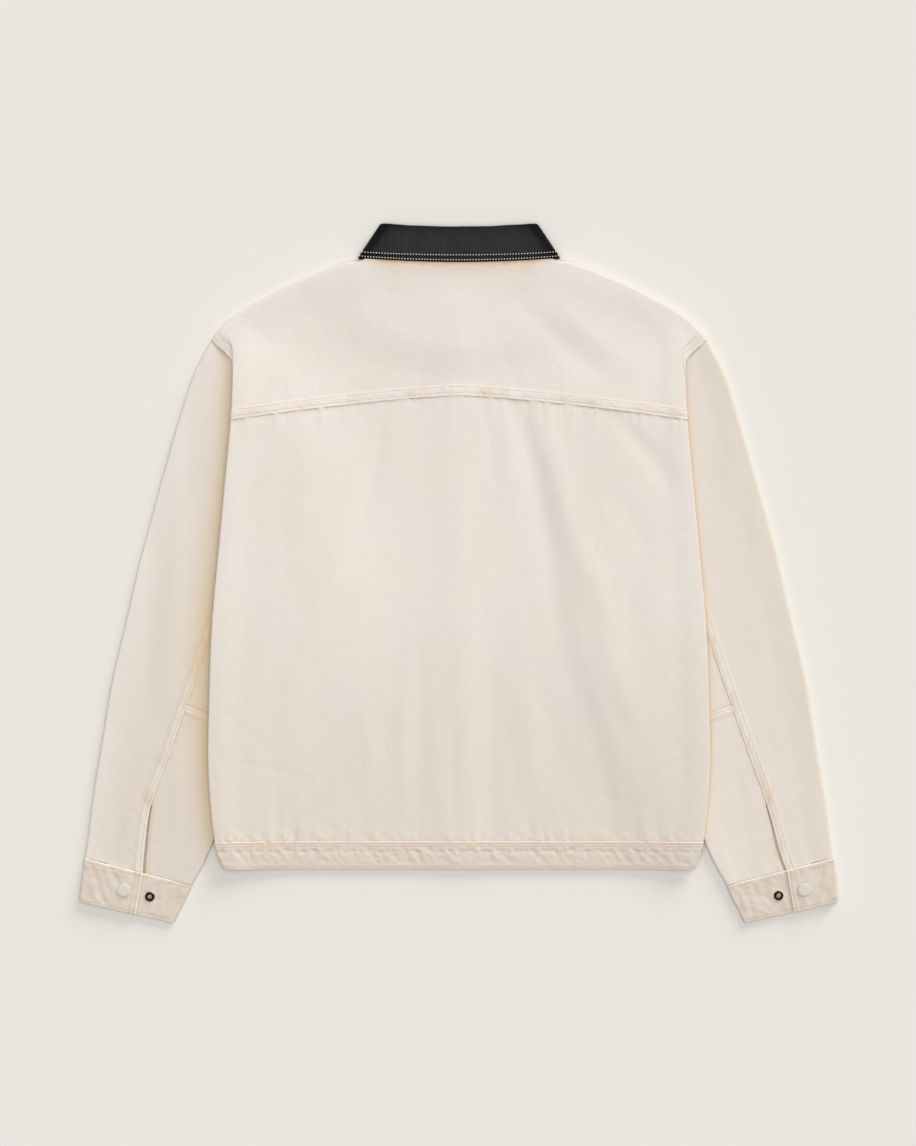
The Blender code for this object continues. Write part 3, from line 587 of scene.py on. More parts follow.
def under_turn(row, offset):
    """The underside seam's place in a section."""
    width = sleeve_width(row)
    return 2.0 + (width - UNDER_SEAM * width - offset - SLEEVE_FOLD) / (width - 2.0 * SLEEVE_FOLD)


def slit_open(row):
    """0 where the back seam is sewn, 1 where it is left open."""
    return ease((row - SLIT_ROW) * 7.0)


def top_sleeve_form(side, column, row):
    """Column 0 at the back seam, 1 at the start of the outer fold, 2 after it, 3 at the underside seam."""
    first = mix(seam_turn(side, row, -GAP / 2.0), 0.0, column)
    last = mix(3.0, under_turn(row, -GAP / 2.0), column - 2.0)
    turn = np.select((column <= 1.0, column <= 2.0), (first, 5.0 - column), last)
    x, y, z = sleeve_section(row, turn)
    tucked = ease(1.0 - row / ARMHOLE_TUCK_ROWS)
    step = 0.7 * ARMHOLE_TUCK * tucked
    return side * (x - step), y + step, z * (1.0 - 0.18 * tucked)


def under_sleeve_form(side, column, row):
    """Column 0 at the back seam, 1 at the start of the inner fold, 2 after it, 3 at the underside seam."""
    edge = mix(-TUCK_UNDER, GAP / 2.0 + SLIT * (0.3 + 0.7 * ease(row - SLIT_ROW)), slit_open(row))
    first = mix(seam_turn(side, row, edge), 1.0, column)
    last = mix(2.0, under_turn(row, GAP / 2.0), column - 2.0)
    turn = np.select((column <= 1.0, column <= 2.0), (first, column), last)
    x, y, z = sleeve_section(row, turn)
    return side * x, y, z


def cuff_form(side, column, row):
    """A band whose upper end, column 0, laps over its lower end, column 5."""
    start, finish = np.array(CUFF_START), np.array(CUFF_FINISH)
    outer_x, outer_y, inner_x, inner_y = (mix(a, b, row) for a, b in zip(start, finish))
    width = np.hypot(inner_x - outer_x, inner_y - outer_y)
    big, small = CUFF_TOP_Z / 2.0, CUFF_LOW_Z / 2.0
    outer_sine, outer_cosine = crisp(pi * (column - 1.0))
    inner_sine, inner_cosine = crisp(pi * (column - 3.0))
    cases = (column <= 1.0, column <= 2.0, column <= 3.0, column <= 4.0)
    reach = np.select(cases, (
        mix(mix(*WRISTS[side].lap_at, row), big, column), big * (1.0 - outer_sine),
        mix(big, width - small, column - 2.0), width - small * (1.0 - inner_sine),
    ), mix(width - small, CUFF_END_AT, column - 4.0))
    level = np.ones(np.shape(column))
    z = np.select(cases, (CUFF_TOP_Z * level, big * (1.0 + outer_cosine), 0.0 * level,
                          small * (1.0 - inner_cosine)), CUFF_LOW_Z * level)
    part = reach / width
    return side * mix(outer_x, inner_x, part), mix(outer_y, inner_y, part), z


# ---- making panels ----
# What a dress is worked out from: each point's column, row and place, and the cloth's length from column 0
# and from row 0.
Place = namedtuple("Place", "column row x y z u v")
Panel = namedtuple("Panel", "piece points normals u v column row")
Cut = namedtuple("Cut", "piece span area")
finishes = {}


def new_object(name, data):
    """An object with the data, in the scene."""
    made = bpy.data.objects.new(name, data)
    bpy.context.scene.collection.objects.link(made)
    return made


def run_length(points, axis, start):
    """Distance along a grid's lines, in one of its two directions, from the line with index start."""
    steps = np.linalg.norm(np.diff(points, axis=axis), axis=-1)
    zero = np.zeros_like(np.take(steps, [0], axis=axis))
    total = np.concatenate([zero, np.cumsum(steps, axis=axis)], axis=axis)
    return total - np.take(total, [start], axis=axis)


def set_values(mesh, name, kind, field, values):
    mesh.attributes.new(name, kind, "POINT").data.foreach_set(field, values.ravel().astype(np.float32))


def panel(name, columns, rows, form, dress, wall=CLOTH, looks_up=False, slot="canvas", shade=0.0):
    """A grid on a form, dressed with its relief, with its cloth measured in both directions as a UV map.

    `looks_up` says which way the grid faces near its first corner. `shade` is how much darker the cloth is
    painted: its own tone, panel by panel, and on some panels a painted falloff of light towards the foot;
    a number or a function of y.
    """
    columns, rows = np.asarray(columns, float), np.asarray(rows, float)
    column, row = np.meshgrid(columns, rows, indexing="ij")
    base = np.stack(np.broadcast_arrays(*form(column, row)), -1)
    u = run_length(base, 0, int(np.argmin(abs(columns))))
    v = run_length(base, 1, 0)
    normals = np.cross(np.gradient(base, axis=0), np.gradient(base, axis=1))
    facing = 1.0 if (normals[1, 1, 2] > 0.0) == looks_up else -1.0
    normals = facing * normals / np.maximum(np.linalg.norm(normals, axis=-1, keepdims=True), 1e-9)
    dressed = dress(Place(column, row, *np.moveaxis(base, -1, 0), u, v))
    points = base + normals * dressed.relief[..., None]

    count = len(rows)
    corner = (np.arange(len(columns) - 1)[:, None] * count + np.arange(count - 1)).ravel()
    faces = np.stack([corner, corner + count, corner + count + 1, corner + 1], -1)
    if facing < 0.0:
        faces = faces[:, ::-1]
    mesh = bpy.data.meshes.new(name + "_cloth")
    mesh.from_pydata((points.reshape(-1, 3) * MM).tolist(), [], faces.tolist())
    masks = dressed._asdict() | {"shade": shade(base[..., 1]) if callable(shade) else shade}
    for key in ("tint", "pale", "gold", "shade"):
        set_values(mesh, key, "FLOAT", "value", np.clip(masks[key] + np.zeros(column.shape), 0.0, 1.0))
    lie = np.stack([u, v], -1).reshape(-1, 2)[faces.ravel()]
    mesh.uv_layers.new(name="cloth").data.foreach_set("uv", (lie * MM).ravel().astype(np.float32))
    mesh.shade_smooth()
    mesh.materials.append(finishes[slot])
    piece = new_object(name + "_cloth", mesh)
    thickness = piece.modifiers.new("wall", "SOLIDIFY")
    thickness.thickness = wall * MM
    thickness.offset = -1.0

    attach(piece, "root")
    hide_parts(name)
    return Panel(piece, points, normals, u, v, column, row)


def to_end(length):
    """What is left of each line's length, for a length measured along the rows."""
    return np.max(length, axis=1, keepdims=True) - length


def row_on(cloth, field, value, axis=1, keep=True, lift=0.0):
    """The line on a panel where a field of its grid has a value, found along one of its directions and
    kept where `keep` is true: a list of (point, normal)."""
    grids = cloth.points, cloth.normals, field, np.broadcast_to(keep, field.shape)
    points, normals, field, kept = (np.moveaxis(grid, axis, 1) for grid in grids)
    line = []
    for i in range(len(points)):
        past = field[i] - value
        found = np.nonzero(((past[:-1] <= 0.0) != (past[1:] <= 0.0)) & kept[i, :-1])[0]
        if len(found):
            j = found[0]
            t = past[j] / (past[j] - past[j + 1])
            normal = mix(normals[i, j], normals[i, j + 1], t)
            line.append((mix(points[i, j], points[i, j + 1], t) + lift * normal, normal))
    return line


def darker_down(light, dark, top, foot):
    """Painted shade of a panel that grows darker towards its foot, a falloff of light, as a function of y.
    """
    return lambda y: mix(light, dark, ease((top - y) / (top - foot)))


# ---- how each panel is dressed ----
# Rows of stitches, by their distance from the edge that they follow.
YOKE_ROWS_AT = (3.8, 10.4)
HEM_ROWS_AT = (2.8, 5.8)
HEM_EDGE_ROW_AT = 2.1
SEAM_ROWS_AT = (3.0, 8.6)
ARMHOLE_ROWS_AT = (6.4, 13.0)
CUFF_SEAM_ROW_AT = 2.2
CUFF_END_ROWS_AT = (3.0, 8.6)
CUFF_EDGE_ROW_AT = 3.2
FRONT_ROWS_AT = (3.0, 30.0)
COLLAR_ROWS_AT = (2.4, 7.8)

CUFF_COVERED = 30.0        # this much of the cuff's lower end lies under its upper end
TUCK_UNDER = 1.6           # how far a panel goes in under the one that laps over it
TUCK_DEPTH = 1.1           # and how far down it goes there
ARMHOLE_TUCK = 5.0         # how far the top sleeve goes in under the yoke's wing
ARMHOLE_TUCK_ROWS = 0.06
DIMPLES_AT = 11.0          # distance of the hem band's dimples from its upper edge
WALE_PITCH = 2.2
WALE_HEIGHT = 0.70
WALE_ROUNDNESS = 0.7       # below 1, a wale is fuller than a sine
THREAD_FLATNESS = 0.75
WHOLE = 200.0              # the end of a band that runs on past the end of the cuff

Stain = namedtuple("Stain", "x width strength")
YOKE_STAINS = [Stain(*row) for row in (
    (29.0, 8.0, 1.0), (50.0, 6.0, 0.6), (118.0, 14.0, 0.45), (146.0, 9.0, 0.5), (-50.0, 12.0, 0.45),
    (-112.0, 10.0, 0.4), (-172.0, 12.0, 0.45), (-226.0, 12.0, 0.65), (205.0, 10.0, 0.5), (236.0, 8.0, 0.6),
)]


def above_yoke_seam(column, y):
    """Distance up from the yoke's seam, square to it."""
    return 0.985 * (y - yoke_seam(np.minimum(abs(column), 1.0)))


def turned_under(at):
    """1 on the side fold of the back, where it goes down and under, 0 on its flat part and wing."""
    return ease(4.0 * (abs(at.column) - 1.12)) * ease((232.0 - at.y) / 20.0)


def dress_back(at):
    x, y = at.x, at.y
    below = -above_yoke_seam(at.column, y)
    above = y - HEM_SEAM_Y
    flat = ease(3.0 - 1.6 * abs(at.column))
    relief = (folds_at(BACK_FOLDS + YOKE_FOLDS, x, y) + slack(x, y, 11)) * (0.15 + 0.85 * flat)
    lean = 0.5 * cloud(x, 0.0, 60.0, 33)
    left_end = 1.0 + 0.9 * bell(x + 190.0, 60.0)
    relief += puckers(x, below, 21, 0.85) + puckers(x + 7.0 + lean * above, above, 31, 1.1) * left_end
    drags = cloud(0.6 * x + 0.8 * above, 0.3 * above, 7.0, 35) * np.exp(-abs(above) / 16.0)
    relief += 0.30 * drags * left_end
    relief -= TUCK_DEPTH * ease(-below / TUCK_UNDER) + 1.5 * ease(-above / TUCK_UNDER)
    stain = patchy(x, y, 16.0, 37)
    ragged = ease(0.5 + 1.2 * cloud(x, below * 0.4, 3.4, 39))
    tint = stain * (0.16 * bell(below, 3.0) + 0.10 * bell(above, 5.0) + 0.10 * bell(above, 1.2))
    # Painted shade: a ragged warm line just under the yoke's edge, where its shadow falls, and warm shade on
    # the side fold where the cloth turns under.
    tint += (0.06 + 0.17 * ragged) * bell(below, 0.9 + 1.0 * ragged) + 0.40 * turned_under(at)
    return Dress(relief, tint, 0.35 * (1.0 - stain) * bell(below - 5.0, 5.0))


def under_collar(x, y):
    """Painted contact shade, with stains, on the yoke along the collar's edge, and a painted shadow line
    where the neck seam shows below it.
    """
    below = COLLAR_EDGE_BACK[1] + 1.2 + 3.3 * (x / 112.0) ** 2 - y
    neck_seam = y - 335.8 - 5.0 * ((x - 6.0) / 48.0) ** 2
    spots = 0.85 + 0.15 * cloud(x, 0.0, 4.0, 97)
    tint = 0.66 * spots * bell(np.maximum(below - 0.6, 0.0), 3.4) + 0.13 * bell(below - 9.0, 8.0)
    neck_seam_shadow = 0.24 * bell(neck_seam, 0.9) * ease((58.0 - abs(x - 6.0)) / 10.0)
    return tint * ease((104.0 - abs(x)) / 25.0) + neck_seam_shadow


def dress_yoke(at):
    x, y = at.x, at.y
    away = above_yoke_seam(at.column, y)
    flat = ease(3.0 - 1.6 * abs(at.column)) * ease(2.6 - 2.0 * at.row)
    relief = (folds_at(YOKE_FOLDS, x, y) + slack(x, y, 11)) * flat * ease(away / 8.0)
    stain = sum(place.strength * bell(x - place.x, place.width) for place in YOKE_STAINS)
    stain = np.clip(stain + 0.12 * cloud(x, away, 12.0, 42), 0.0, 1.0)
    strip = stitched_strip(away, x, YOKE_ROWS_AT, 41, height=FELL, width=12.2, stain=stain)
    edge = np.max(at.u, axis=0) - abs(at.u)
    armhole = stitched_strip(edge, y, ARMHOLE_ROWS_AT, 45, width=15.0)
    high = ease((y - 215.0) / 15.0) * ease(1.35 - at.row)
    relief += strip.relief + puckers(x + 3.0, away - FELL_WIDTH, 47, 0.22) * ease(away)
    relief += (armhole.relief + puckers(y, edge, 49, 0.30)) * high
    # Painted warm shade on the side fold where the cloth turns under, and painted shade along the collar.
    tint = strip.tint + armhole.tint * high + under_collar(x, y) * (at.row < 1.2) + 0.40 * turned_under(at)
    return Dress(relief, tint, strip.pale + armhole.pale * high)


def dress_hem(seed, at):
    """A hem band: double stitched under its upper edge, dimpled and dragged askew below the stitching."""
    away, along, length = HEM_SEAM_Y - at.y, at.x, HEM_SEAM_Y - HEM_Y
    lower = length - away
    edge_row = lower - HEM_EDGE_ROW_AT
    strip = stitched_strip(away, along, HEM_ROWS_AT, seed, width=length, stain=0.18)
    wander = 1.8 * cloud(along, 0.0, 13.0, seed + 3)
    dimples = bell(away - DIMPLES_AT - wander, 2.3) * ease(0.45 + 1.1 * cloud(along, 0.0, 6.0, seed + 4))
    drag = cloud(0.82 * along - 0.57 * away, 0.22 * (0.57 * along + 0.82 * away), 6.5, seed + 5)
    drag *= 0.4 + 0.6 * spotted(along, 0.0, 32.0, seed + 6)
    relief = strip.relief - 1.25 * dimples + 0.75 * drag * band(away, 10.0, length - 8.0, 3.5)
    relief += 0.20 * cloud(along, away, 5.0, seed + 10) * band(away, 8.0, length - 5.0, 3.0)
    relief += 0.16 * cloud(along, away, 6.0, seed + 7) - EDGE_ROLL * bell(lower, 0.5)
    relief -= 0.30 * bell(edge_row, 0.8)
    stain = patchy(along, away, 18.0, seed + 8)
    # Painted shade in the dimples, stronger where the cloth is stained.
    tint = strip.tint * (1.0 - bell(away, 0.9)) + 0.13 * dimples * (0.4 + 0.6 * stain)
    tint += 0.08 * sum(bell(away - row, 0.6) for row in HEM_ROWS_AT)
    tint += (0.10 + 0.26 * stain * spotted(along, 0.0, 4.0, seed + 9)) * bell(edge_row - 0.4, 0.9)
    # The pale lines along the band's upper edge, between its rows and along its lower edge are wear with
    # painted highlights.
    pale = 0.60 * bell(away - 0.5, 0.9) + 0.30 * bell(away - 4.3, 0.7) + 0.20 * bell(away - 7.3, 0.8)
    return Dress(relief, tint, pale + 0.6 * bell(lower - 0.6, 0.7))


def dress_hem_front(seed, at):
    """The same band looking down: nothing on it may stand out below the ground."""
    dressed = dress_hem(seed, at)
    return dressed._replace(relief=np.minimum(dressed.relief, -abs(dressed.relief) * ease(0.2)))


def dress_front(seed, at):
    edge, x, y = at.u, at.x, at.y
    lumps = 0.5 * patchy(x, y * 0.3, 34.0, seed) + 0.25 * patchy(x, y, 9.0, seed + 1)
    relief = -lumps * ease(edge / 6.0) * ease(at.v / 4.0)
    relief -= 0.2 * sum(bell(edge - row, 0.9) for row in FRONT_ROWS_AT)
    seams = sum(bell(edge - row, 1.3) for row in FRONT_ROWS_AT) + bell(at.v, 4.0)
    return Dress(relief, 0.4 * patchy(x, y, 18.0, seed + 2) * seams, 0.4 * bell(edge, 0.9))


def on_top(column):
    """1 on the face of a sleeve that shows from above, 0 on the one that lies on the ground."""
    return ease((1.75 - column) / 0.25)


def beside_body(side, x, y):
    """1 where a sleeve goes in under the body's side, falling off over the sleeve's strip beside it."""
    width = 15.0 + 9.0 * bell(y + 90.0, 130.0) if side < 0.0 else 5.0
    return bell(np.maximum(side * x - side_edge(y), 0.0), width)


def warm_shade_strength(side, y):
    """How strongly a sleeve is painted with warm shade where the body's side shadows it."""
    return 0.37 + 0.16 * bell(y + 115.0, 120.0) if side < 0.0 else 0.20


def dress_top_sleeve(side, seed, at):
    x, y, u, v = at.x, at.y, at.u, at.v
    shaded, shows, to_cuff = beside_body(side, x, y), on_top(at.column), to_end(v)
    strip = stitched_strip(u, v, SEAM_ROWS_AT, seed, height=FELL)
    relief = (folds_at(SLEEVE_FOLDS[side], x, y) + slack(u, v, seed + 4)) * ease(u / 9.0)
    relief += puckers(v, u - FELL_WIDTH, seed + 7, 0.26) * ease(u / 6.0)
    relief += puckers(u, to_cuff, seed + 10, 0.62) + puckers(u, v, seed + 13, 0.30)
    relief += strip.relief * (1.0 - 0.35 * slit_open(at.row)) - 0.5 * shaded
    relief -= TUCK_DEPTH * ease(-to_cuff / TUCK_UNDER + 1.0) * (to_cuff < TUCK_UNDER)
    stain = patchy(u, v, 17.0, seed + 16)
    tack = bell(at.row - SLIT_ROW + 0.05, 0.22) * bell(u - 6.0, 7.0)
    # Its last term is painted warm shade along the armhole, under the edge of the yoke's wing.
    tint = strip.tint + stain * (0.14 * bell(to_cuff, 4.0) + 0.3 * tack) + 0.30 * bell(v - 2.0, 2.2)
    # Painted highlight on the left sleeve's outer fold, painted shade on the right sleeve's.
    fold_highlight, fold_shade = (0.6, 0.0) if side < 0.0 else (0.0, 0.18)
    fold_edge = bell(at.column - 1.4, 0.45)
    # All painted warm shade: where the body's side shadows the sleeve, along the armhole under the yoke's
    # wing, and on the right sleeve's outer fold.
    gold = warm_shade_strength(side, y) * shaded + 0.20 * stain * bell(v, 5.0) + fold_shade * fold_edge
    return Dress(relief * shows, tint, strip.pale * shows + fold_highlight * fold_edge, gold)


def dress_under_sleeve(side, seed, lapped, at):
    """`lapped` is whether this piece's first row lies over the one above it, at the cross seam."""
    x, y, u, v = at.x, at.y, at.u, at.v
    shaded, shows, to_seam = beside_body(side, x, y), on_top(at.column), to_end(v)
    slit = slit_open(at.row)
    relief = (folds_at(SLEEVE_FOLDS[side], x, y) + slack(u, v, seed + 4) - 0.5 * shaded) * ease(u / 5.0)
    relief += puckers(v, u, seed + 7, 0.34) - TUCK_DEPTH * ease(1.0 - u / TUCK_UNDER) * (1.0 - slit)
    relief += puckers(u, to_seam, seed + 10, 0.60 if lapped else 0.35)
    relief -= 1.3 * ease(1.0 - to_seam / TUCK_UNDER)
    stain = patchy(u, v, 15.0, seed + 16)
    tint = stain * (0.16 * bell(u - 1.5, 2.5) + 0.12 * bell(to_seam, 4.0))
    # Painted shade inside the open slit, with stains.
    tint += (0.04 + 0.20 * stain) * slit * bell(u - 1.0, 2.5)
    pale = 0.2 * slit * bell(u, 0.9)
    if lapped:
        strip = stitched_strip(v, u, SEAM_ROWS_AT, seed + 19, height=FELL)
        relief, tint, pale = relief + strip.relief, tint + strip.tint, pale + strip.pale
    # The last mask is painted warm shade where the body's side shadows the sleeve.
    return Dress(relief * shows, tint, pale * shows, warm_shade_strength(side, y) * shaded)


def dress_cuff(seed, at):
    u, v, lower = at.u, at.v, to_end(at.v)
    low_end = np.max(u, axis=0) - u
    seam = stitched_strip(v, u, (CUFF_SEAM_ROW_AT,), seed, width=WHOLE)
    drag = cloud(0.85 * u + 0.5 * v, 0.35 * (0.85 * v - 0.5 * u), 7.0, seed + 3)
    middle = band(v, 7.0, WHOLE, 3.0) * band(lower, 6.0, WHOLE, 2.0)
    relief = seam.relief * ease(1.6 - v / 10.0) + 0.75 * drag * middle * ease((u - 11.0) / 4.0)
    relief += 0.3 * cloud(u, v, 9.0, seed + 4) * band(v, 4.0, WHOLE, 2.0)
    relief += puckers(u, v - 3.0, seed + 7, 0.55) * ease(v / 4.0)
    relief += 0.16 * cloud(u, v, 4.5, seed + 8) * middle - STITCH_DEPTH * bell(lower - CUFF_EDGE_ROW_AT, 0.8)
    relief -= EDGE_ROLL * (bell(lower, 0.6) + bell(u, 0.6))
    stain = patchy(u, v, 14.0, seed + 5)
    tint = (seam.tint + 0.10 * bell(v - 2.2, 0.8)) * ease(1.5 - v / 10.0) * (1.0 - bell(v, 1.0))
    tint += (0.06 + 0.16 * stain) * bell(lower - CUFF_EDGE_ROW_AT, 1.2)
    for row in CUFF_END_ROWS_AT:
        relief -= STITCH_DEPTH * bell(u - row, STITCH_GROOVE)
        tint += (0.05 + 0.12 * stain) * bell(u - row, 1.1)
    tint += 0.11 * ease(1.4 * cloud(u, v * 0.5, 7.0, seed + 6)) * band(v, 2.0, 9.0, 3.0)
    tint += 0.05 * ease(1.6 * cloud(u, v * 0.7, 16.0, seed + 9)) * ease(u / 8.0)
    # The pale along the cuff's seam and folded edges is wear with a painted highlight.
    pale = seam.pale + 0.5 * bell(lower - 0.6, 0.8) + 0.8 * bell(u - 0.8, 0.9) + 0.7 * bell(v - 0.4, 1.0)
    seen = np.maximum(band(at.column, -1.0, 1.6, 0.3), band(at.column, 3.6, 6.0, 0.3))
    covered = ease((at.column - 3.9) * 10.0) * ease((CUFF_COVERED - low_end) / 3.0)
    return Dress(relief * seen * (1.0 - covered), tint, pale * seen)


def dress_collar(at):
    """The fall's edge is rolled under and topstitched. Its wales are raised later, along its normals."""
    u, fall_edge, place, profile = at.u, at.v, abs(at.column), at.row
    relief = -0.7 * bell(fall_edge, 0.9) - 0.30 * sum(bell(fall_edge - row, 0.8) for row in COLLAR_ROWS_AT)
    relief += 0.35 * cloud(u, fall_edge * 0.5, 22.0, 91) * ease(fall_edge / 9.0) * ease(2.2 - profile)
    relief += 0.12 * cloud(u, fall_edge * 2.0, 6.0, 92) * band(fall_edge, 2.0, 9.0, 1.0)
    # Painted shade: the collar's sides, its rolled fall edge, a band between its rows and its roll are
    # darkened towards black.
    dark = bell(place - 1.25, 0.30) + bell(fall_edge, 2.2) + 0.6 * bell(fall_edge - 5.1, 1.6)
    return Dress(relief, dark + bell(profile - 1.3, 0.35) + 0.5 * bell(place - 1.0, 0.06), 0.0)


# ---- node trees ----
def add_node(tree, kind, settings=(), **inputs):
    """A node with its settings, and its inputs, by name or as i0, i1 and so on, set or linked."""
    node = tree.nodes.new(kind)
    for key, value in dict(settings).items():
        setattr(node, key, value)
    for label, value in inputs.items():
        socket = node.inputs[int(label[1:]) if label[1:].isdigit() else label.replace("_", " ")]
        if isinstance(value, bpy.types.NodeSocket):
            tree.links.new(value, socket)
        else:
            socket.default_value = value
    return node


def math_node(operation, first, second=0.0):
    """A number worked out from one or two, at least one of which is a socket of the tree that it is for."""
    tree = (first if isinstance(first, bpy.types.NodeSocket) else second).id_data
    return add_node(tree, "ShaderNodeMath", {"operation": operation}, i0=first, i1=second).outputs[0]


plus, minus, times, divided, power, sine, size_of = (partial(math_node, operation) for operation in (
    "ADD", "SUBTRACT", "MULTIPLY", "DIVIDE", "POWER", "SINE", "ABSOLUTE"))


def new_tree(name, kind, inputs, outputs=()):
    """An empty node group with named sockets, each a (name, type), and its input and output sockets."""
    tree = bpy.data.node_groups.new(name, kind)
    for way, sockets in (("INPUT", inputs), ("OUTPUT", outputs)):
        for label, socket_type in sockets:
            tree.interface.new_socket(label, in_out=way, socket_type="NodeSocket" + socket_type)
    return tree, tree.nodes.new("NodeGroupInput").outputs, tree.nodes.new("NodeGroupOutput").inputs


def geometry_tree(name, *numbers):
    """A geometry tree whose other inputs are numbers."""
    geometry = ("Geometry", "Geometry")
    tree, given, out = new_tree(name, "GeometryNodeTree",
                                [geometry] + [(number, "Float") for number in numbers], [geometry])
    tree.is_modifier = True
    return tree, given, out


def end_tree(tree, out, geometry, material):
    real = add_node(tree, "GeometryNodeRealizeInstances", Geometry=geometry)
    finish = add_node(tree, "GeometryNodeSetMaterial", Geometry=real.outputs[0], Material=material)
    tree.links.new(finish.outputs[0], out["Geometry"])
    return tree


def run_tree(piece, tree, **values):
    """Puts a tree on a piece with its inputs set, and makes the result the piece's own mesh."""
    others = list(piece.modifiers)
    modifier = piece.modifiers.new(tree.name, "NODES")
    modifier.node_group = tree
    for item in tree.interface.items_tree:
        if item.in_out == "INPUT" and item.name in values:
            modifier[item.identifier] = values[item.name]
    for other in others:
        other.show_viewport = False
    depsgraph = bpy.context.evaluated_depsgraph_get()
    mesh = bpy.data.meshes.new_from_object(piece.evaluated_get(depsgraph), depsgraph=depsgraph)
    for other in others:
        other.show_viewport = True
    piece.modifiers.remove(modifier)
    piece.data = mesh


def named_vector(tree, name):
    settings = {"data_type": "FLOAT_VECTOR"}
    return add_node(tree, "GeometryNodeInputNamedAttribute", settings, Name=name).outputs["Attribute"]


def wales_tree():
    """Raises wales on a panel: round ribs across its measured length, everywhere that it is cloth."""
    tree, given, out = geometry_tree("corduroy_wales", "Pitch", "Height")
    around = add_node(tree, "ShaderNodeSeparateXYZ", Vector=named_vector(tree, "cloth")).outputs["X"]
    rib = size_of(sine(times(divided(around, given["Pitch"]), pi)))
    height = times(minus(power(rib, WALE_ROUNDNESS), 1.0), given["Height"])
    normal = add_node(tree, "GeometryNodeInputNormal").outputs[0]
    offset = add_node(tree, "ShaderNodeVectorMath", {"operation": "SCALE"}, Vector=normal, Scale=height)
    moved = add_node(tree, "GeometryNodeSetPosition", Geometry=given["Geometry"], Offset=offset.outputs[0])
    return end_tree(tree, out, moved.outputs[0], finishes["corduroy"])


def stitch_tree(name, finish):
    """Lays stitches along lines: short flattened threads, each turned to the line and the cloth."""
    tree, given, out = geometry_tree(name, "Pitch", "Length", "Thread")
    curve = add_node(tree, "GeometryNodeMeshToCurve", Mesh=given["Geometry"])
    even = add_node(tree, "GeometryNodeResampleCurve", {"mode": "LENGTH"},
                    Curve=curve.outputs[0], Length=given["Pitch"])
    ball = add_node(tree, "GeometryNodeMeshUVSphere", Segments=6, Rings=4, Radius=0.5)
    size = add_node(tree, "ShaderNodeCombineXYZ", X=given["Length"], Y=given["Thread"],
                    Z=times(given["Thread"], THREAD_FLATNESS))
    tangent = add_node(tree, "GeometryNodeInputTangent")
    turned = add_node(tree, "FunctionNodeAlignRotationToVector", {"axis": "X"}, Vector=tangent.outputs[0])
    facing = add_node(tree, "FunctionNodeAlignRotationToVector", {"axis": "Z", "pivot_axis": "X"},
                      Rotation=turned.outputs[0], Vector=named_vector(tree, "up"))
    laid = add_node(tree, "GeometryNodeInstanceOnPoints", Points=even.outputs[0], Instance=ball.outputs[0],
                    Rotation=facing.outputs[0], Scale=size.outputs[0])
    return end_tree(tree, out, laid.outputs[0], finish)


def stitches(name, lines, finish, pitch=2.7, length=2.15, thread=0.55):
    """One piece with the stitches of many lines, each a list of (point, normal) on the cloth."""
    verts, edges, ups = [], [], []
    for line in lines:
        first = len(verts)
        verts += [tuple(point * MM) for point, _ in line]
        ups += [tuple(normal) for _, normal in line]
        edges += [(i, i + 1) for i in range(first, len(verts) - 1)]
    mesh = bpy.data.meshes.new(name)
    mesh.from_pydata(verts, edges, [])
    set_values(mesh, "up", "FLOAT_VECTOR", "vector", np.array(ups))
    piece = new_object(name, mesh)
    run_tree(piece, stitch_tree(name + "_tree", finishes[finish]),
             Pitch=pitch * MM, Length=length * MM, Thread=thread * MM)
    piece.data.shade_smooth()
    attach(piece, "root")


# ---- finishes ----
def noise(place, scale, detail=2.0, roughness=0.5, stretch=(1.0, 1.0, 1.0)):
    """Noise over a place in metres, with scale lumps to the metre."""
    moved = add_node(place.id_data, "ShaderNodeMapping", Vector=place, Scale=stretch)
    return add_node(place.id_data, "ShaderNodeTexNoise", Vector=moved.outputs[0], Scale=scale, Detail=detail,
                    Roughness=roughness).outputs["Fac"]


def blend(factor, first, second):
    """Two colours mixed by a factor."""
    return add_node(factor.id_data, "ShaderNodeMix", {"data_type": "RGBA"},
                    i0=factor, i6=first, i7=second).outputs[2]


def between(value, low, high, to_low=0.0, to_high=1.0):
    """A value turned smoothly from one range into another."""
    return add_node(value.id_data, "ShaderNodeMapRange", {"interpolation_type": "SMOOTHSTEP"},
                    i0=value, i1=low, i2=high, i3=to_low, i4=to_high).outputs[0]


# A kind of crease: its noise, how wide its ridges are, and how its patches lie and how strong they are.
Crinkle = namedtuple("Crinkle", "scale stretch width patch_scale strength")
CRINKLES = (
    Crinkle(55.0, (1.0, 0.8, 1.0), 0.035, 14.0, 0.7),
    Crinkle(200.0, (0.7, 1.0, 1.0), 0.10, 31.0, 0.45),
)


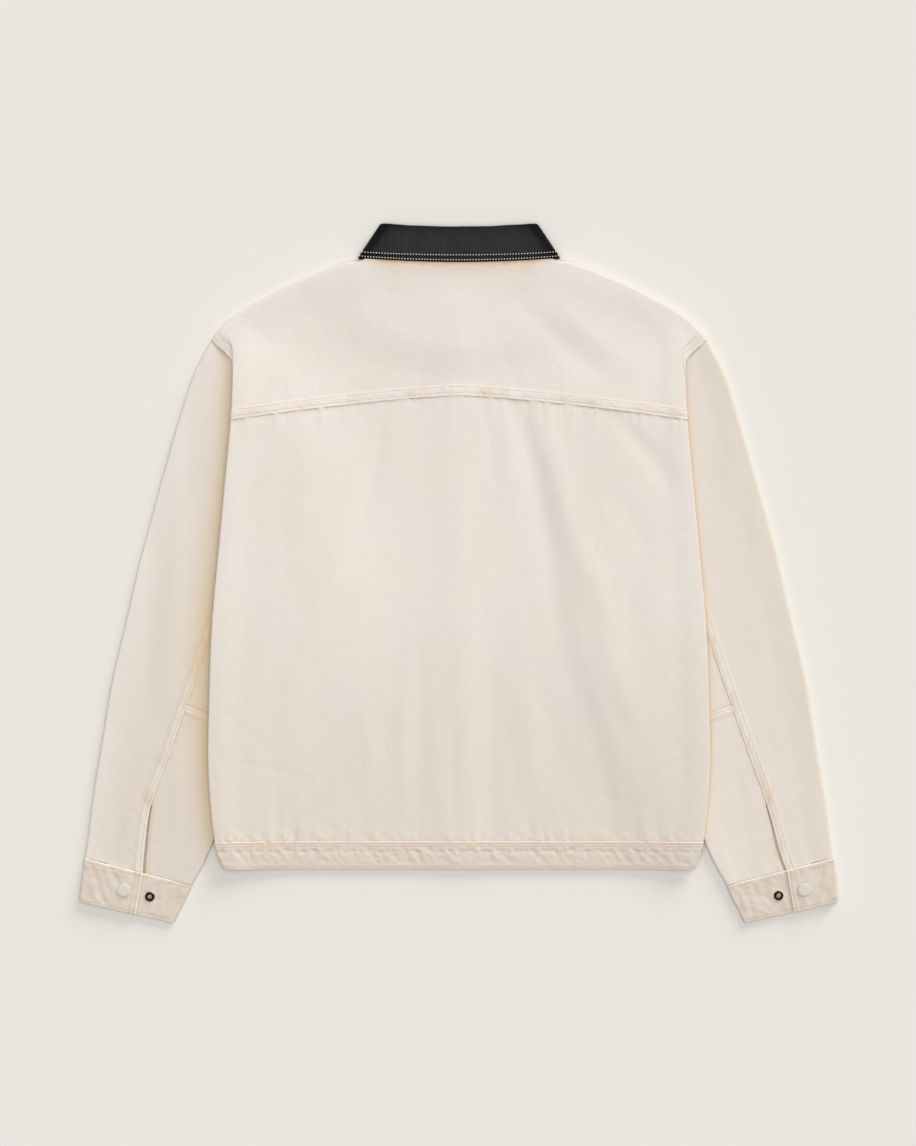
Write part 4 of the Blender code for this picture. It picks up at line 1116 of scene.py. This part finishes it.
def weave_group():
    """Plain weave over a place in metres: yarns a pitch apart, some thicker, and the creases of washing."""
    tree, given, out = new_tree(
        "woven_cloth", "ShaderNodeTree",
        [("Place", "Vector")] + [(name, "Float") for name in ("Yarn Pitch", "Yarn Height", "Crease Height")],
        [(name, "Float") for name in ("Height", "Fleck", "Mottle", "Crease")])
    place = given["Place"]
    split = add_node(tree, "ShaderNodeSeparateXYZ", Vector=place)
    turn = divided(pi, given["Yarn Pitch"])
    checks = times(*(sine(times(split.outputs[i], turn)) for i in (0, 1)))
    slubs = times(noise(place, 900.0, 1.0, 0.5, (0.05, 1.0, 1.0)),
                  noise(place, 900.0, 1.0, 0.5, (1.0, 0.05, 1.0)))
    yarns = plus(checks, times(slubs, 3.0))
    crinkles = []
    for kind in CRINKLES:
        ridge = size_of(minus(noise(place, kind.scale, 2.0, 0.6, kind.stretch), 0.5))
        patches = noise(place, kind.patch_scale, 2.0, 0.5, (1.0, 0.4, 1.0))
        patches = between(patches, 0.48, 0.62, 0.06, kind.strength)
        crinkles.append(times(between(ridge, 0.0, kind.width), patches))
    crease = plus(*crinkles)
    ribs = noise(place, 420.0, 1.0, 0.5, (0.22, 1.0, 1.0))
    creases = plus(times(crease, given["Crease Height"]), times(ribs, 0.05))
    results = {
        "Height": plus(times(yarns, given["Yarn Height"]), creases),
        "Fleck": between(slubs, 0.12, 0.42),
        "Mottle": between(noise(place, 9.0, 3.0, 0.6), 0.3, 0.7),
        "Crease": crease,
    }
    for label, result in results.items():
        tree.links.new(result, out[label])
    return tree


def new_finish(name, cloth=False, **values):
    """A material with constant values on its shader's sockets. Returns the shader and the place that its
    pattern is laid out by, on the measured cloth or in the piece's own axes."""
    material = bpy.data.materials.new(name)
    material.use_nodes = True
    finishes[name] = material
    tree = material.node_tree
    shader = tree.nodes["Principled BSDF"]
    for label, value in values.items():
        shader.inputs[label.replace("_", " ")].default_value = value
    if cloth:
        return shader, add_node(tree, "ShaderNodeUVMap", {"uv_map": "cloth"}).outputs[0]
    return shader, add_node(tree, "ShaderNodeTexCoord").outputs["Object"]


def look(shader, colour, roughness, height=None):
    """Links a finish's colour, its roughness and, in millimetres, its bumps."""
    links = shader.id_data.links
    links.new(colour, shader.inputs["Base Color"])
    links.new(roughness, shader.inputs["Roughness"])
    if height:
        bump = add_node(shader.id_data, "ShaderNodeBump", Strength=1.0, Distance=MM, Height=height)
        links.new(bump.outputs[0], shader.inputs["Normal"])


# The pale colour is pale wear and also a painted highlight, the rust one stains and also painted warm shade,
# the gold one painted warm shade alone, and the dark one painted shade with each panel's own tone.
CANVAS_LIGHT = (0.840, 0.772, 0.724, 1.0)
CANVAS_STRAW = (0.828, 0.768, 0.690, 1.0)
CANVAS_DARK = (0.680, 0.588, 0.500, 1.0)
CANVAS_PALE_HIGHLIGHT = (0.870, 0.830, 0.795, 1.0)
CANVAS_RUST_AND_SHADE = (0.700, 0.360, 0.060, 1.0)
CANVAS_WARM_SHADE = (0.725, 0.530, 0.235, 1.0)
# The groove and edge colours of the pile are painted shade.
PILE_DARK = (0.027, 0.024, 0.025, 1.0)
PILE_LIGHT = (0.056, 0.051, 0.052, 1.0)
PILE_WORN = (0.052, 0.047, 0.048, 1.0)
PILE_GROOVE_SHADE = (0.004, 0.004, 0.004, 1.0)
PILE_EDGE_SHADE = (0.002, 0.002, 0.002, 1.0)
ENAMEL_DARK = (0.640, 0.585, 0.520, 1.0)
ENAMEL_LIGHT = (0.715, 0.665, 0.600, 1.0)
FLOOR_COLOUR = (0.823, 0.799, 0.745, 1.0)


def attribute(shader, name):
    return add_node(shader.id_data, "ShaderNodeAttribute", {"attribute_name": name}).outputs["Fac"]


def canvas_finish():
    shader, place = new_finish("canvas", True, Roughness=0.92, Sheen_Weight=0.10, Sheen_Roughness=0.5,
                               Specular_IOR_Level=0.22)
    cloth = add_node(shader.id_data, "ShaderNodeGroup", {"node_tree": weave_group()}, Place=place,
                     Yarn_Pitch=0.00056, Yarn_Height=0.030, Crease_Height=0.125).outputs
    # Painted shade in the crinkles' creases, on top of the shade attribute.
    shade = plus(attribute(shader, "shade"), times(cloth["Crease"], 0.06))
    ground = blend(shade, blend(cloth["Mottle"], CANVAS_LIGHT, CANVAS_STRAW), CANVAS_DARK)
    ground = blend(times(cloth["Fleck"], 0.10), ground, CANVAS_DARK)
    for mask, colour in (("pale", CANVAS_PALE_HIGHLIGHT), ("gold", CANVAS_WARM_SHADE), ("tint", CANVAS_RUST_AND_SHADE)):
        ground = blend(attribute(shader, mask), ground, colour)
    look(shader, ground, between(cloth["Fleck"], 0.0, 1.0, 0.95, 0.86), cloth["Height"])


def corduroy_finish():
    shader, place = new_finish("corduroy", True, Sheen_Weight=0.12, Sheen_Roughness=0.45,
                               Specular_IOR_Level=0.15)
    pile = noise(place, 1500.0, 2.0, 0.6, (1.0, 0.35, 1.0))
    worn = between(noise(place, 60.0, 3.0, 0.6, (1.0, 0.5, 1.0)), 0.35, 0.75)
    across = add_node(shader.id_data, "ShaderNodeSeparateXYZ", Vector=place).outputs["X"]
    # Painted shade in the grooves between the wales.
    crown = between(size_of(sine(times(across, pi / (WALE_PITCH * MM)))), 0.15, 0.85)
    colour = blend(crown, PILE_GROOVE_SHADE, blend(pile, PILE_DARK, PILE_LIGHT))
    colour = blend(times(worn, 0.25), colour, PILE_WORN)
    # Painted shade on the collar's edges and roll.
    colour = blend(times(attribute(shader, "tint"), 0.85), colour, PILE_EDGE_SHADE)
    look(shader, colour, between(pile, 0.3, 0.7, 0.86, 0.97), times(pile, 0.18))


def thread_finish(name, light, dark):
    shader, place = new_finish(name, Sheen_Weight=0.15, Specular_IOR_Level=0.3)
    fibres = noise(place, 2600.0, 2.0, 0.6)
    colour = blend(between(noise(place, 75.0, 2.0, 0.6), 0.35, 0.65), light, dark)
    colour = blend(times(fibres, 0.3), colour, tuple(0.6 * part for part in dark[:3]) + (1.0,))
    look(shader, colour, between(fibres, 0.3, 0.7, 0.7, 0.9), times(fibres, 0.06))


def enamel_finish():
    shader, place = new_finish("enamel", Specular_IOR_Level=0.35, Coat_Weight=0.08, Coat_Roughness=0.3)
    haze = noise(place, 420.0, 3.0, 0.6)
    colour = blend(haze, ENAMEL_DARK, ENAMEL_LIGHT)
    look(shader, colour, between(haze, 0.3, 0.7, 0.45, 0.60), times(haze, 0.02))


def brass_finish(name, bright, dark):
    shader, place = new_finish(name, Metallic=1.0)
    worn = noise(place, 700.0, 4.0, 0.65)
    colour = blend(between(worn, 0.35, 0.65), bright, dark)
    look(shader, colour, between(worn, 0.3, 0.7, 0.26, 0.5), times(worn, 0.03))


def floor_finish():
    shader, place = new_finish("floor", Specular_IOR_Level=0.1)
    grain = noise(place, 120.0, 2.0, 0.5)
    look(shader, blend(grain, FLOOR_COLOUR, FLOOR_COLOUR), between(grain, 0.3, 0.7, 0.93, 0.97))


canvas_finish()
corduroy_finish()
thread_finish("ivory_thread", (0.93, 0.91, 0.87, 1.0), (0.86, 0.83, 0.77, 1.0))
thread_finish("tan_thread", (0.70, 0.54, 0.36, 1.0), (0.56, 0.35, 0.16, 1.0))
enamel_finish()
brass_finish("snap_brass", (0.30, 0.20, 0.13, 1.0), (0.15, 0.10, 0.07, 1.0))
brass_finish("snap_ring", (0.62, 0.58, 0.52, 1.0), (0.40, 0.36, 0.31, 1.0))
brass_finish("snap_dark", (0.030, 0.027, 0.025, 1.0), (0.012, 0.011, 0.010, 1.0))
floor_finish()


# ---- the panels ----
START_FINE = (True, False) # stops that are fine at one end alone
END_FINE = (False, True)
BODY_WIDTH = 530.0
TURN_STEPS = 14
FOLD_STEPS = 12
WRIST_STEPS = 8
SEAM_FINE = 15.0           # the grid is fine this far from a seam
CUFF_LENGTH = 47.3
CUFF_RISE = -1.4           # the cuff starts this far down from its seam, so it laps over the sleeve
turned = 1.0 + over(TURN_STEPS, 1.0)
round_fold = over(FOLD_STEPS, 1.0)
round_wrist = over(WRIST_STEPS, 1.0)


def body_columns(spacing):
    return joined((-1.0, 2.0 * over(BODY_WIDTH, spacing)), (0.0, turned), (0.0, -turned))


def sleeve_columns(width, fine):
    first = stops(width, 2.4, fine, START_FINE, SEAM_FINE)
    return joined((0.0, first), (1.0, round_fold), (2.0, round_wrist))


panel("back_panel", body_columns(2.0), stops(489.0, 3.8, 1.2),
      partial(back_form, lambda c: HEM_SEAM_Y - TUCK_UNDER, lambda c: yoke_seam(c) + TUCK_UNDER, 0.0),
      dress_back, shade=darker_down(0.10, 0.45, 20.0, -270.0))
yoke_rows = joined((0.0, stops(152.0, 2.6, 0.9, START_FINE, 26.0)), (1.0, round_fold))
yoke = panel("back_yoke", body_columns(2.0), yoke_rows, yoke_form, dress_yoke, shade=0.03)
hem = panel("hem_back", body_columns(1.7), over(31.0, 0.95),
            partial(back_form, lambda c: HEM_Y, lambda c: HEM_SEAM_Y, FELL), partial(dress_hem, 51),
            wall=DOUBLE, shade=0.79)

SIDE_NAMES = {-1.0: "left", 1.0: "right"}
LAPS = {-1.0: 0.0, 1.0: LAP_LIFT}
fronts, front_hems, top_sleeves, lower_sleeves, cuffs = {}, {}, {}, {}, {}
for side, name in SIDE_NAMES.items():
    lap, turn = LAPS[side], int(side)
    fronts[side] = panel(f"front_{name}", stops(290.0, 5.0, 1.5, START_FINE, 40.0),
                         stops(590.0, 5.5, 2.0), partial(front_form, side, lap),
                         partial(dress_front, 101 + turn), shade=0.10)
    front_hems[side] = panel(f"hem_front_{name}", over(280.0, 3.2), over(31.0, 1.9),
                             partial(hem_front_form, side, lap), partial(dress_hem_front, 111 + turn),
                             wall=DOUBLE, shade=0.79)

top_columns, under_columns = sleeve_columns(62.0, 0.9), sleeve_columns(80.0, 1.0)
top_rows = 10.0 * stops(590.0, 2.6, 1.3, END_FINE)
cuff_columns = joined((0.0, over(56.0, 1.1)), (1.0, round_wrist), (2.0, over(20, 1.0)), (3.0, round_wrist),
                      (4.0, over(84.0, 1.5)))
cuff_rows = mix(CUFF_RISE / CUFF_LENGTH, 1.0, over(CUFF_LENGTH, 1.15))
upper_rows = (CROSS_SEAM_ROW + 0.02) * stops(330.0, 4.0, 1.5, END_FINE)
lower_rows = CROSS_SEAM_ROW + (10.0 - CROSS_SEAM_ROW) * stops(230.0, 2.4, 0.9)
# Painted shade, darker down the sleeves, and darker on the left sleeve than on the right.
SLEEVE_SHADES = {-1.0: (0.38, 0.56), 1.0: (0.30, 0.32)}
for side, name in SIDE_NAMES.items():
    seed = 131 + int(side)
    facing = {"looks_up": True, "shade": darker_down(*SLEEVE_SHADES[side], 100.0, -300.0)}
    top_sleeves[side] = panel(f"sleeve_top_{name}", top_columns, top_rows, partial(top_sleeve_form, side),
                              partial(dress_top_sleeve, side, seed), **facing)
    under_form = partial(under_sleeve_form, side)
    panel(f"sleeve_under_upper_{name}", under_columns, upper_rows, under_form,
          partial(dress_under_sleeve, side, seed + 20, False), **facing)
    lower_sleeves[side] = panel(f"sleeve_under_lower_{name}", under_columns, lower_rows, under_form,
                                partial(dress_under_sleeve, side, seed + 40, True), **facing)
    cuffs[side] = panel(f"cuff_{name}", cuff_columns, cuff_rows, partial(cuff_form, side),
                        partial(dress_cuff, seed + 60), wall=CUFF_WALL, looks_up=True, shade=0.80)

side_stations = joined((1.0, over(38.0, 0.45)), (2.0, over(90.0, 0.9)))
collar_stations = joined((-1.0, 2.0 * over(173.0, 0.42)), (0.0, side_stations), (0.0, -side_stations))
collar_profiles = joined((0.0, over(38.0, 1.5)), (1.0, round_wrist), (2.0, over(30.0, 3.0)))
collar = panel("collar", collar_stations, collar_profiles, collar_form, dress_collar, slot="corduroy")
run_tree(collar.piece, wales_tree(), Pitch=WALE_PITCH * MM, Height=WALE_HEIGHT * MM)

# ---- stitching ----
UNDERSIDE = -0.22          # a row on cloth that faces down is sunk by this
seam_lines = []
above = above_yoke_seam(yoke.column, yoke.points[..., 1])
for at in YOKE_ROWS_AT:
    seam_lines.append(row_on(yoke, above, at, keep=abs(yoke.column) < 1.5))
to_armhole = np.max(abs(yoke.u), axis=0) - abs(yoke.u)
for at in ARMHOLE_ROWS_AT:
    for side in SIDE_NAMES:
        wing = (side * yoke.column > 0.9) & (yoke.points[..., 1] > 214.0) & (yoke.row < 1.3)
        seam_lines.append(row_on(yoke, to_armhole, at, axis=0, keep=wing))
for edge, keep, lift in ((hem, abs(hem.column) < 1.6, 0.0), (front_hems[-1.0], True, UNDERSIDE),
                         (front_hems[1.0], True, UNDERSIDE)):
    for at in HEM_ROWS_AT + (HEM_SEAM_Y - HEM_Y - HEM_EDGE_ROW_AT,):
        seam_lines.append(row_on(edge, HEM_SEAM_Y - edge.points[..., 1], at, keep=keep, lift=lift))
for side in SIDE_NAMES:
    front, sleeve, lower, cuff = fronts[side], top_sleeves[side], lower_sleeves[side], cuffs[side]
    for at in SEAM_ROWS_AT:
        seam_lines.append(row_on(sleeve, sleeve.u, at, axis=0, keep=sleeve.column < 1.0))
        seam_lines.append(row_on(lower, lower.v, at, keep=(lower.column < 1.4) & (lower.u > TUCK_UNDER)))
    for at in FRONT_ROWS_AT:
        seam_lines.append(row_on(front, front.u, at, axis=0, lift=UNDERSIDE))
    fall = to_end(cuff.v)
    low_leaf = (cuff.column > 3.6) & (np.max(cuff.u, axis=0) - cuff.u > CUFF_COVERED)
    for field, at in ((cuff.v, CUFF_SEAM_ROW_AT - CUFF_RISE), (fall, CUFF_EDGE_ROW_AT)):
        for leaf in (cuff.column < 1.4, low_leaf):
            seam_lines.append(row_on(cuff, field, at, keep=leaf))
    for at in CUFF_END_ROWS_AT:
        seam_lines.append(row_on(cuff, cuff.u, at, axis=0, keep=(cuff.v > 1.0) & (fall > 1.0)))
stitches("seam_stitches", seam_lines, "tan_thread", length=1.6, thread=0.6)

fall_rows = []
for at in COLLAR_ROWS_AT:
    fall_rows.append(row_on(collar, collar.v, at, lift=0.5, keep=abs(collar.column) < 1.6))
    for side in SIDE_NAMES:
        fall_rows.append(row_on(collar, collar.v, at, lift=-0.45, keep=side * collar.column >= 1.6))
stitches("collar_stitches", fall_rows, "ivory_thread", pitch=3.1, length=1.5, thread=1.3)


# ---- snaps ----
ROUND_STEPS = 48
Ring = namedtuple("Ring", "radius height")


def turned_snap(name, node, bands, place):
    """A snap's half, turned about its axis from the middle of its top to the middle of its foot. Its bands
    are of one finish each, as (finish, rings), and from a ring to the next one it has the first one's."""
    x, y, z = place
    rings = [(Ring(*ring), kind) for kind, (_, band_rings) in enumerate(bands) for ring in band_rings]
    shape = bmesh.new()
    loops = []
    for ring, _ in rings:
        steps = ROUND_STEPS if ring.radius > 0.0 else 1
        turns = [2.0 * pi * i / steps for i in range(steps)]
        loops.append([shape.verts.new(((x + ring.radius * cos(t)) * MM, (y + ring.radius * sin(t)) * MM,
                                       (z + ring.height) * MM)) for t in turns])
    for (_, kind), inner, outer in zip(rings, loops, loops[1:]):
        for i in range(ROUND_STEPS):
            around = (inner, i), (outer, i), (outer, i + 1), (inner, i + 1)
            corners = [loop[j % len(loop)] for loop, j in around]
            face = shape.faces.new(list(dict.fromkeys(corners)))
            face.smooth = True
            face.material_index = kind
    bmesh.ops.recalc_face_normals(shape, faces=shape.faces)
    mesh = bpy.data.meshes.new(name)
    shape.to_mesh(mesh)
    shape.free()
    for finish, _ in bands:
        mesh.materials.append(finishes[finish])
    piece = new_object(name, mesh)
    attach(piece, "root")
    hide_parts(node)


CAP_BANDS = (
    ("enamel", ((0.0, 1.62), (2.0, 1.61), (4.4, 1.57), (6.0, 1.47), (6.6, 1.34), (6.95, 1.12), (7.2, 0.80),
                (7.38, 0.50), (7.4, 0.30), (7.2, 0.0), (0.0, 0.0))),
)
STUD_BANDS = (
    ("snap_brass", ((0.0, 0.66), (1.0, 0.64), (1.8, 0.56))),
    ("snap_dark", ((2.5, 0.50), (2.7, 0.70), (3.0, 1.50), (3.4, 1.78), (3.9, 1.74), (4.4, 1.34),
                   (4.8, 0.86))),
    ("snap_ring", ((5.25, 0.70), (5.5, 0.70), (5.65, 0.58), (5.75, 0.35), (5.7, 0.0), (0.0, 0.0))),
)
for side, name in SIDE_NAMES.items():
    wrist = WRISTS[side]
    for kind, bands, at, foot, slot in (("cap", CAP_BANDS, wrist.cap_at, CUFF_TOP_Z, "enamel"),
                                        ("stud", STUD_BANDS, wrist.stud_at, CUFF_LOW_Z, "snap_brass")):
        turned_snap(f"{kind}_{name}", f"snap_{kind}_{name}", bands, (side * at[0], at[1], foot + GAP))

# ---- floor, light and camera ----
FLOOR_SIZE = 14.0
FLOOR_DROP = 0.0004
floor_mesh = bpy.data.meshes.new("floor")
corners = [(x * FLOOR_SIZE, y * FLOOR_SIZE, -FLOOR_DROP) for x, y in ((-1, -1), (1, -1), (1, 1), (-1, 1))]
floor_mesh.from_pydata(corners, [], [(0, 1, 2, 3)])
floor_mesh.materials.append(finishes["floor"])
new_object("floor", floor_mesh)

Lamp = namedtuple("Lamp", "name azimuth height spread share colour")
LAMPS = (
    Lamp("key", 58.0, 19.0, 36.0, 0.22, (1.0, 0.985, 0.965)),
    Lamp("overhead", 0.0, 90.0, 60.0, 0.50, (1.0, 1.0, 1.0)),
)
SKY_SHARE = 0.28           # what the sky gives; with the lamps' shares it makes 1
for lamp in LAMPS:
    data = bpy.data.lights.new(lamp.name, "SUN")
    data.energy = pi * lamp.share / sin(radians(lamp.height))
    data.angle = radians(lamp.spread)
    data.color = lamp.colour
    light = new_object(lamp.name, data)
    light.rotation_euler = (radians(90.0 - lamp.height), 0.0, radians(90.0 + lamp.azimuth))
world = bpy.data.worlds.new("studio")
world.use_nodes = True
sky = world.node_tree.nodes["Background"]
sky.inputs["Color"].default_value = (1.0, 1.0, 1.0, 1.0)
sky.inputs["Strength"].default_value = SKY_SHARE
bpy.context.scene.world = world

CAMERA_AT = (-0.0011, 0.0011, 2.98)
CAMERA_LENS = 85.0
camera_data = bpy.data.cameras.new("camera")
camera_data.lens = CAMERA_LENS
camera_data.sensor_fit = "AUTO"
camera_data.sensor_width = 36.0
camera = new_object("camera", camera_data)
camera.location = CAMERA_AT
bpy.context.scene.camera = camera

bpy.context.scene.view_settings.view_transform = "Standard"
